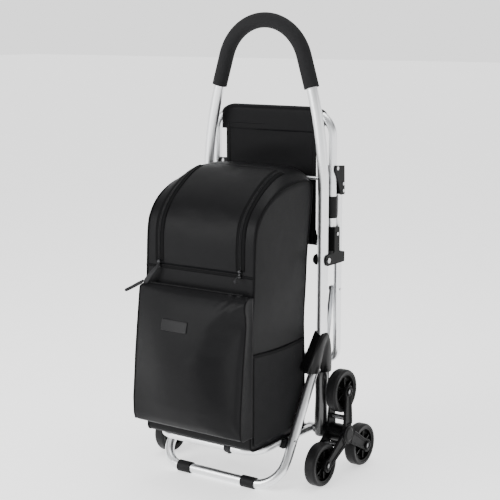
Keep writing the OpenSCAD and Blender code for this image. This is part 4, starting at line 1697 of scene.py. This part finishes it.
@dataclass
class Shield:
    """Outer shell of a side bracket: a hood with one lobe over the stand tube and one over the upright."""

    axle_y: float
    base_x: float = 0.1600
    wall: float = 0.0085
    cap: float = 0.0200
    liner_height: float = 0.0100
    liner_inset: float = 0.03
    edge_points: int = 160
    outline: tuple[tuple[float, float], ...] = (
        (-0.0045, 0.3345), (-0.0130, 0.3305), (-0.0215, 0.3225), (-0.0305, 0.3115), (-0.0415, 0.2985),
        (-0.0520, 0.2845), (-0.0620, 0.2715), (-0.0695, 0.2620), (-0.0735, 0.2550), (-0.0725, 0.2500),
        (-0.0660, 0.2480), (-0.0400, 0.2440), (-0.0120, 0.2400), (0.0130, 0.2365), (0.0205, 0.2370),
        (0.0240, 0.2420), (0.0245, 0.2600), (0.0228, 0.2860), (0.0180, 0.3080), (0.0115, 0.3240),
        (0.0040, 0.3330),
    )
    middle: tuple[float, float] = (-0.0150, 0.2690)
    stand_line: tuple[tuple[float, float], tuple[float, float]] = ((-0.0060, 0.3330), (-0.0450, 0.2480))
    stand_size: tuple[float, float] = (0.0185, 0.0200)
    upright_size: tuple[float, float] = (0.0185, 0.0260)
    upright_y: float = 0.0080
    web: float = 0.0125
    valley: tuple[tuple[float, float], tuple[float, float]] = ((-0.0020, 0.3200), (-0.0175, 0.2400))
    valley_depth: float = 0.0024

    def height(self, y: np.ndarray, z: np.ndarray) -> np.ndarray:
        """Height of the face off its base.

        Each lobe is h * sqrt(1 - (d/w)^2), with d the distance from its line. The face is the p-norm of both
        lobes and the web, with p = 5, held softly under the cap by (f^-8 + cap^-8)^(-1/8), and then falls by
        depth * exp(-(d/6 mm)^2) along the valley, which fades out under the apex.

        Args:
            y: Places along the trolley, from the axle.
            z: Heights.

        Returns:
            The heights.
        """
        (y0, z0), (y1, z1) = self.stand_line
        run = np.array([y1 - y0, z1 - z0]) / math.hypot(y1 - y0, z1 - z0)
        off_stand = (y - y0) * run[1] - (z - z0) * run[0]
        lobes = [
            size[0] * np.sqrt(np.clip(1.0 - (off / size[1]) ** 2, 0.0, 1.0))
            for off, size in ((off_stand, self.stand_size), (y - self.upright_y, self.upright_size))
        ]
        face = (lobes[0] ** 5 + lobes[1] ** 5 + self.web**5) ** 0.2
        (y0, z0), (y1, z1) = self.valley
        along = np.array([y1 - y0, z1 - z0]) / math.hypot(y1 - y0, z1 - z0)
        off_valley = (y - y0) * along[1] - (z - z0) * along[0]
        fade = 1.0 - smooth_step(z, 0.300, 0.326)
        groove = self.valley_depth * np.exp(-((off_valley / 0.0060) ** 2)) * fade
        return (face**-8 + self.cap**-8) ** (-1 / 8) - groove

    def liner_face(self, y: np.ndarray, z: np.ndarray) -> np.ndarray:
        """Height of the liner off its base, the same at every place."""
        return np.full_like(y + z, self.liner_height)

    def shell(self, name: str, sign: int, low: float, face: Face, inset: float) -> bpy.types.Object:
        """A closed shell whose rings shrink from the outline to the middle.

        Its face falls at the rim by sqrt(1 - r^40), with r the ring's share of the outline.

        Args:
            name: Piece name.
            sign: -1 left, 1 right.
            low: Place of its back across.
            face: Height of the face off the base, from y and z.
            inset: Share by which the outline shrinks.

        Returns:
            The shell.
        """
        middle = np.array(self.middle)
        edge = middle + (1.0 - inset) * (closed_spline(np.array(self.outline), self.edge_points) - middle)
        inward = 1.0 - np.linspace(0.0, 1.0, 34)[:-1] ** 1.8
        front = middle + inward[:, None, None] * (edge - middle)
        fall = np.sqrt(1.0 - inward**40)[:, None]
        rise = self.base_x + face(front[..., 0], front[..., 1]) - low
        x_front = low + 0.0006 + (rise - 0.0006) * fall
        behind = np.linspace(0.05, 1.0, 5)[:, None, None]
        back = middle + behind * (edge - middle)
        x = np.vstack([np.full(back.shape[:2], low), x_front])
        yz = np.concatenate([back, front])
        points = np.stack([sign * x, yz[..., 0] + self.axle_y, yz[..., 1]], axis=-1)
        return grid_object(name, points, wrap_v=True, poles=True, flip=sign > 0)

    def build(self, sign: int, finish: bpy.types.Material, dark: bpy.types.Material) -> None:
        """The hood, and the darker liner under it.

        Args:
            sign: -1 left, 1 right.
            finish: The hood's material.
            dark: The liner's material.
        """
        side = "left" if sign < 0 else "right"
        hood = self.shell(f"bracket_hood_{side}", sign, self.base_x + self.wall, self.height, 0.0)
        liner = self.shell(f"bracket_liner_{side}", sign, self.base_x, self.liner_face, self.liner_inset)
        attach(set_material(hood, finish), "frame")
        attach(set_material(liner, dark), "frame")
        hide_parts(f"bracket_outer_{side}")


@dataclass
class Leg:
    """Lower leg: a glossy sleeve that narrows to a waist and flares to a rounded end."""

    axle_y: float
    centre_x: float = 0.1620
    profile: tuple[tuple[float, float], ...] = (
        (0.3020, 0.0020), (0.3020, 0.0112), (0.2600, 0.0115), (0.2420, 0.0118), (0.2345, 0.0140),
        (0.2260, 0.0150), (0.2100, 0.0147), (0.1950, 0.0140), (0.1780, 0.0139), (0.1600, 0.0144),
        (0.1420, 0.0151), (0.1260, 0.0154), (0.1080, 0.0152), (0.0980, 0.0150), (0.0965, 0.0146),
        (0.0950, 0.0149), (0.0900, 0.0145), (0.0862, 0.0128), (0.0840, 0.0090), (0.0832, 0.0020),
    )

    def build(self, sign: int, finish: bpy.types.Material) -> bpy.types.Object:
        """The sleeve, turned about the upright's line.

        Args:
            sign: -1 left, 1 right.
            finish: Its material.

        Returns:
            The sleeve.
        """
        knots = np.array(self.profile)
        at = np.linspace(0.0, 1.0, 120)
        places = np.linspace(0.0, 1.0, len(knots))
        fine = np.stack([np.interp(at, places, knots[:, k]) for k in (0, 1)], axis=-1)
        smooth = fine.copy()
        smooth[3:-3] = (fine[:-6] + 2 * fine[1:-5] + 3 * fine[2:-4] + 4 * fine[3:-3] + 3 * fine[4:-2]
                        + 2 * fine[5:-1] + fine[6:]) / 16.0
        side = "left" if sign < 0 else "right"
        centre = np.array([sign * self.centre_x, self.axle_y, 0.0])
        piece = turned(f"leg_sleeve_{side}", smooth, centre, np.array([0.0, 0.0, 1.0]), 56)
        return set_material(piece, finish)


@dataclass
class FrameTrim:
    """Small parts on the frame: hoods, leg sleeves, rivets, platform clips and the keeper strap."""

    axle_y: float
    stand_rivet: tuple[float, float] = (-0.0320, 0.2520)
    clip_y: float = -0.1285
    clip_z: float = 0.1010
    strap_x: float = 0.0670
    strap_y: float = -0.2350
    strap_z: float = 0.1010
    inner_x: float = 0.1478

    def rivet(
        self, name: str, at: Sequence[float], sign: int, radius: float, finish: bpy.types.Material
    ) -> bpy.types.Object:
        """A domed rivet head with a short shank behind it, facing along x.

        Args:
            name: Piece name.
            at: Middle of its seat.
            sign: Direction that the head faces.
            radius: Radius of the head.
            finish: Its material.

        Returns:
            The head.
        """
        angle = np.linspace(0.02, math.pi / 2, 12)
        along = np.concatenate([0.42 * radius * np.cos(angle), [-0.6 * radius, -radius]])
        radii = np.concatenate([radius * np.sin(angle), [0.96 * radius, 0.90 * radius]])
        profile = np.stack([along, radii], axis=-1)
        head = turned(name, profile, np.array(at, float), np.array([float(sign), 0.0, 0.0]), 28)
        return set_material(head, finish)

    def rivets(self, shield: Shield, finish: bpy.types.Material) -> None:
        """One head on each hood and two inside each bracket.

        Args:
            shield: The hood that the outer heads sit on.
            finish: The heads' material.
        """
        y, z = self.stand_rivet
        outer = shield.base_x + float(shield.height(np.array(y), np.array(z))) + 0.0002
        places = [
            ("outer", outer, y, z, 1),
            ("inner_low", self.inner_x, y, z, -1),
            ("inner_high", self.inner_x, -0.002, 0.300, -1),
        ]
        for sign, side in ((-1, "left"), (1, "right")):
            for name, x, at_y, at_z, way in places:
                at = (sign * x, at_y + self.axle_y, at_z)
                head = self.rivet(f"frame_rivet_{name}_{side}", at, sign * way, 0.0033, finish)
                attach(head, "frame")
                if name == "outer" and sign > 0:
                    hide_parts("frame_rivets")

    def clips(self, plastic: bpy.types.Material, steel: bpy.types.Material) -> None:
        """A small saddle between the platform tube and the stand tube, and its rivet on the outer side.

        The saddle is a flattened swept tube whose section swells in the middle.

        Args:
            plastic: The saddles' material.
            steel: The rivets' material.
        """
        for sign, side in ((-1, "left"), (1, "right")):
            s = np.linspace(0.0, 1.0, 26)
            path = np.stack(
                [
                    sign * (0.1440 + 0.0035 * np.sin(math.pi * s)),
                    self.clip_y + self.axle_y - 0.0135 + 0.027 * s,
                    np.full_like(s, self.clip_z - 0.0035),
                ],
                axis=-1,
            )
            radius = 0.0112 * (1.0 - 0.30 * np.abs(2.0 * s - 1.0) ** 6)
            saddle = swept_tube(f"platform_saddle_{side}", path, radius, (0, 0, 1), segments=28, flat=0.72)
            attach(set_material(saddle, plastic), "frame")
            if sign > 0:
                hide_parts("stand_clips")
            at = (sign * 0.1729, self.clip_y + self.axle_y + 0.0035, self.clip_z + 0.0035)
            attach(self.rivet(f"platform_rivet_{side}", at, sign, 0.0036, steel), "frame")

    def strap(self, finish: bpy.types.Material) -> None:
        """The keeper strap: a flat band that wraps most of the way round the platform's front tube.

        Args:
            finish: Its material.
        """
        turn = np.linspace(-0.35 * math.pi, 1.45 * math.pi, 44)
        radius = 0.0104
        ring = np.stack([radius * np.cos(turn), radius * np.sin(turn)], axis=-1)
        x = np.full(len(ring), self.strap_x)
        y = self.strap_y + self.axle_y + ring[:, 0]
        path = np.stack([x, y, self.strap_z + ring[:, 1]], axis=-1)
        band = swept_tube("keeper_strap", path, 0.0085, (1, 0, 0), segments=20, flat=0.10)
        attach(set_material(band, finish), "platform")

    def build(self, dresser: "Dresser") -> None:
        """Builds every small part of the frame.

        Args:
            dresser: Holds the finishes.
        """
        shield, leg = Shield(self.axle_y), Leg(self.axle_y)
        for sign, side in ((-1, "left"), (1, "right")):
            shield.build(sign, dresser.satin, dresser.plastic)
            sleeve = leg.build(sign, dresser.gloss)
            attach(sleeve, "frame")
            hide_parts(f"lower_leg_{side}", *(["lower_leg_caps"] if sign > 0 else []))
        self.rivets(shield, dresser.steel)
        self.clips(dresser.plastic, dresser.steel)
        self.strap(dresser.webbing)
        log.info("hoods, leg sleeves, clips and rivets")


@dataclass
class ClusterTrim:
    """Raised edges on the three arms of each outer carrier, with rings round the bolts and the hub."""

    axle_y: float
    axle_z: float = 0.1008
    face_x: float = 0.2362
    arm: float = 0.1017
    root_half: float = 0.0140
    tip_half: float = 0.0105
    tip_r: float = 0.0132
    bead: float = 0.0021
    dish_r: float = 0.0076
    dish_bead: float = 0.0028
    hub_r: float = 0.0205
    proud: float = 0.0012

    def arm_loop(self) -> np.ndarray:
        """The raised edge of one arm as a closed loop in its plane: up one edge, round the tip and back down.

        Returns:
            Points along and across the arm, from the axle.
        """
        meet = math.asin(self.tip_half / self.tip_r)
        tip = np.linspace(math.pi - meet, meet - math.pi, 40)
        ring = np.stack([self.arm + self.tip_r * np.cos(tip), self.tip_r * np.sin(tip)], axis=-1)
        along = np.linspace(0.0235, ring[0, 0], 30)[:-1]
        share = (along - along[0]) / (ring[0, 0] - along[0])
        half = self.root_half + (self.tip_half - self.root_half) * smooth_step(share, 0.0, 1.0)
        edge = np.stack([along, half], axis=-1)
        return even_samples(np.vstack([edge, ring, edge[::-1] * np.array([1.0, -1.0])]), 150, closed=True)

    def placed(self, loop: np.ndarray, angle: float, x: float) -> np.ndarray:
        """Turns a loop about the axle and puts it at its place across.

        Args:
            loop: Points along and across the arm.
            angle: Direction of the arm in the plane of y and z.
            x: Place across.

        Returns:
            The points.
        """
        c, s = math.cos(angle), math.sin(angle)
        y = self.axle_y + loop[:, 0] * c - loop[:, 1] * s
        z = self.axle_z + loop[:, 0] * s + loop[:, 1] * c
        return np.stack([np.full(len(loop), x), y, z], axis=-1)

    def build(self, finish: bpy.types.Material) -> None:
        """Builds both sides' beads.

        Args:
            finish: Material of the carriers.
        """
        loop = self.arm_loop()
        around = np.linspace(0.0, 2 * math.pi, 60, endpoint=False)
        circle = np.stack([np.cos(around), np.sin(around)], axis=-1)
        for sign, side in ((-1, "left"), (1, "right")):
            for place, degrees in (("top", 90), ("front", 210), ("rear", 330)):
                angle = math.radians(degrees)
                x = sign * self.face_x
                around_arm = self.placed(loop, angle, x)
                edge = swept_tube(
                    f"arm_edge_{side}_{place}", around_arm, self.bead, (1, 0, 0), closed=True, segments=12
                )
                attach(set_material(edge, finish), f"cluster_{side}")
                dish_at = circle * self.dish_r + np.array([self.arm, 0.0])
                dish = self.placed(dish_at, angle, x + sign * self.proud)
                ring = swept_tube(
                    f"bolt_dish_{side}_{place}", dish, self.dish_bead, (1, 0, 0), closed=True, segments=12
                )
                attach(set_material(ring, finish), f"cluster_{side}")
            rim = self.placed(circle * self.hub_r, 0.0, sign * (self.face_x + self.proud))
            hub = swept_tube(f"hub_ring_{side}", rim, self.bead, (1, 0, 0), closed=True, segments=12)
            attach(set_material(hub, finish), f"cluster_{side}")
        log.info("carrier edges")


# ---- the frame's own nodes ----


class Dresser:
    """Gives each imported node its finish."""

    def __init__(self) -> None:
        """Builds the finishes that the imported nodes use."""
        self.tube = TubeFinish("anodised_tube").material()
        self.cross_tube = TubeFinish("anodised_cross_tube", streak_axis=0).material()
        self.steel = SteelFinish("zinc_steel").material()
        self.plastic = MouldedFinish("grained_black").material()
        self.coated = MouldedFinish("black_powder_coat", roughness=0.38, grain_mm=0.8).material()
        self.gloss = MouldedFinish(
            "gloss_black_coat", colour=(0.008, 0.008, 0.0085), roughness=0.30,
            grain_depth=0.00001, coat=0.25, shine=0.75,
        ).material()
        self.satin = MouldedFinish("satin_hood", roughness=0.36, grain_depth=0.00002, shine=0.24).material()
        self.rivet = SteelFinish("dark_rivet", colour=(0.20, 0.20, 0.205), roughness=0.22).material()
        self.webbing = ClothFinish(
            "strap_webbing", roughness=0.6, weave=Weave.TWILL, thread_mm=0.9, sheen=0.0
        ).material()
        self.foam = FoamFinish("grip_foam").material()
        self.rubber = RubberFinish("foot_rubber").material()
        self.tyre = RubberFinish("tyre_rubber", colour=(0.0065, 0.0065, 0.0068), roughness=0.42).material()
        self.rim = MouldedFinish("rim_black", colour=(0.003, 0.003, 0.003), shine=0.10).material()

    def finish_for(self, node: str) -> bpy.types.Material:
        """Picks a node's material from its name.

        Args:
            node: Node name.

        Returns:
            The material.
        """
        starts = {
            "handle_tube": self.tube, "tie_rod": self.cross_tube, "front_stand": self.tube,
            "platform_loop": self.cross_tube, "seat_frame": self.tube, "seat_bar": self.cross_tube,
            "rear_leg_frame": self.tube, "stay_": self.tube, "axle_shaft": self.steel,
            "handle_grip": self.foam, "foot_sleeve": self.rubber, "seat_sleeves": self.rubber,
            "tyre_": self.tyre, "rim_": self.rim, "hinge_bracket": self.coated,
            "leg_bracket": self.coated, "lower_leg_left": self.gloss, "lower_leg_right": self.gloss,
        }
        if "bolts" in node:
            return self.rivet
        if any(word in node for word in ("rivet", "pins")):
            return self.steel
        for start, material in starts.items():
            if node.startswith(start):
                return material
        return self.plastic

    def dress(self) -> None:
        """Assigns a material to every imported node."""
        for name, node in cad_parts.items():
            node.data.materials.clear()
            node.data.materials.append(self.finish_for(name))
            node.data.polygons.foreach_set("use_smooth", np.ones(len(node.data.polygons), dtype=bool))


def main() -> None:
    """Builds everything in order."""
    logging.basicConfig(level=logging.INFO, format="%(name)s: %(message)s")
    Studio().build()
    dresser = Dresser()
    dresser.dress()
    log.info("frame dressed")
    low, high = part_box("axle_shaft")
    axle_y = 0.5 * (low[1] + high[1])
    FrameTrim(axle_y).build(dresser)
    ClusterTrim(axle_y).build(dresser.plastic)
    Bag(axle_y).build()
    Sling(axle_y).build()


if __name__ == "__main__":
    main()
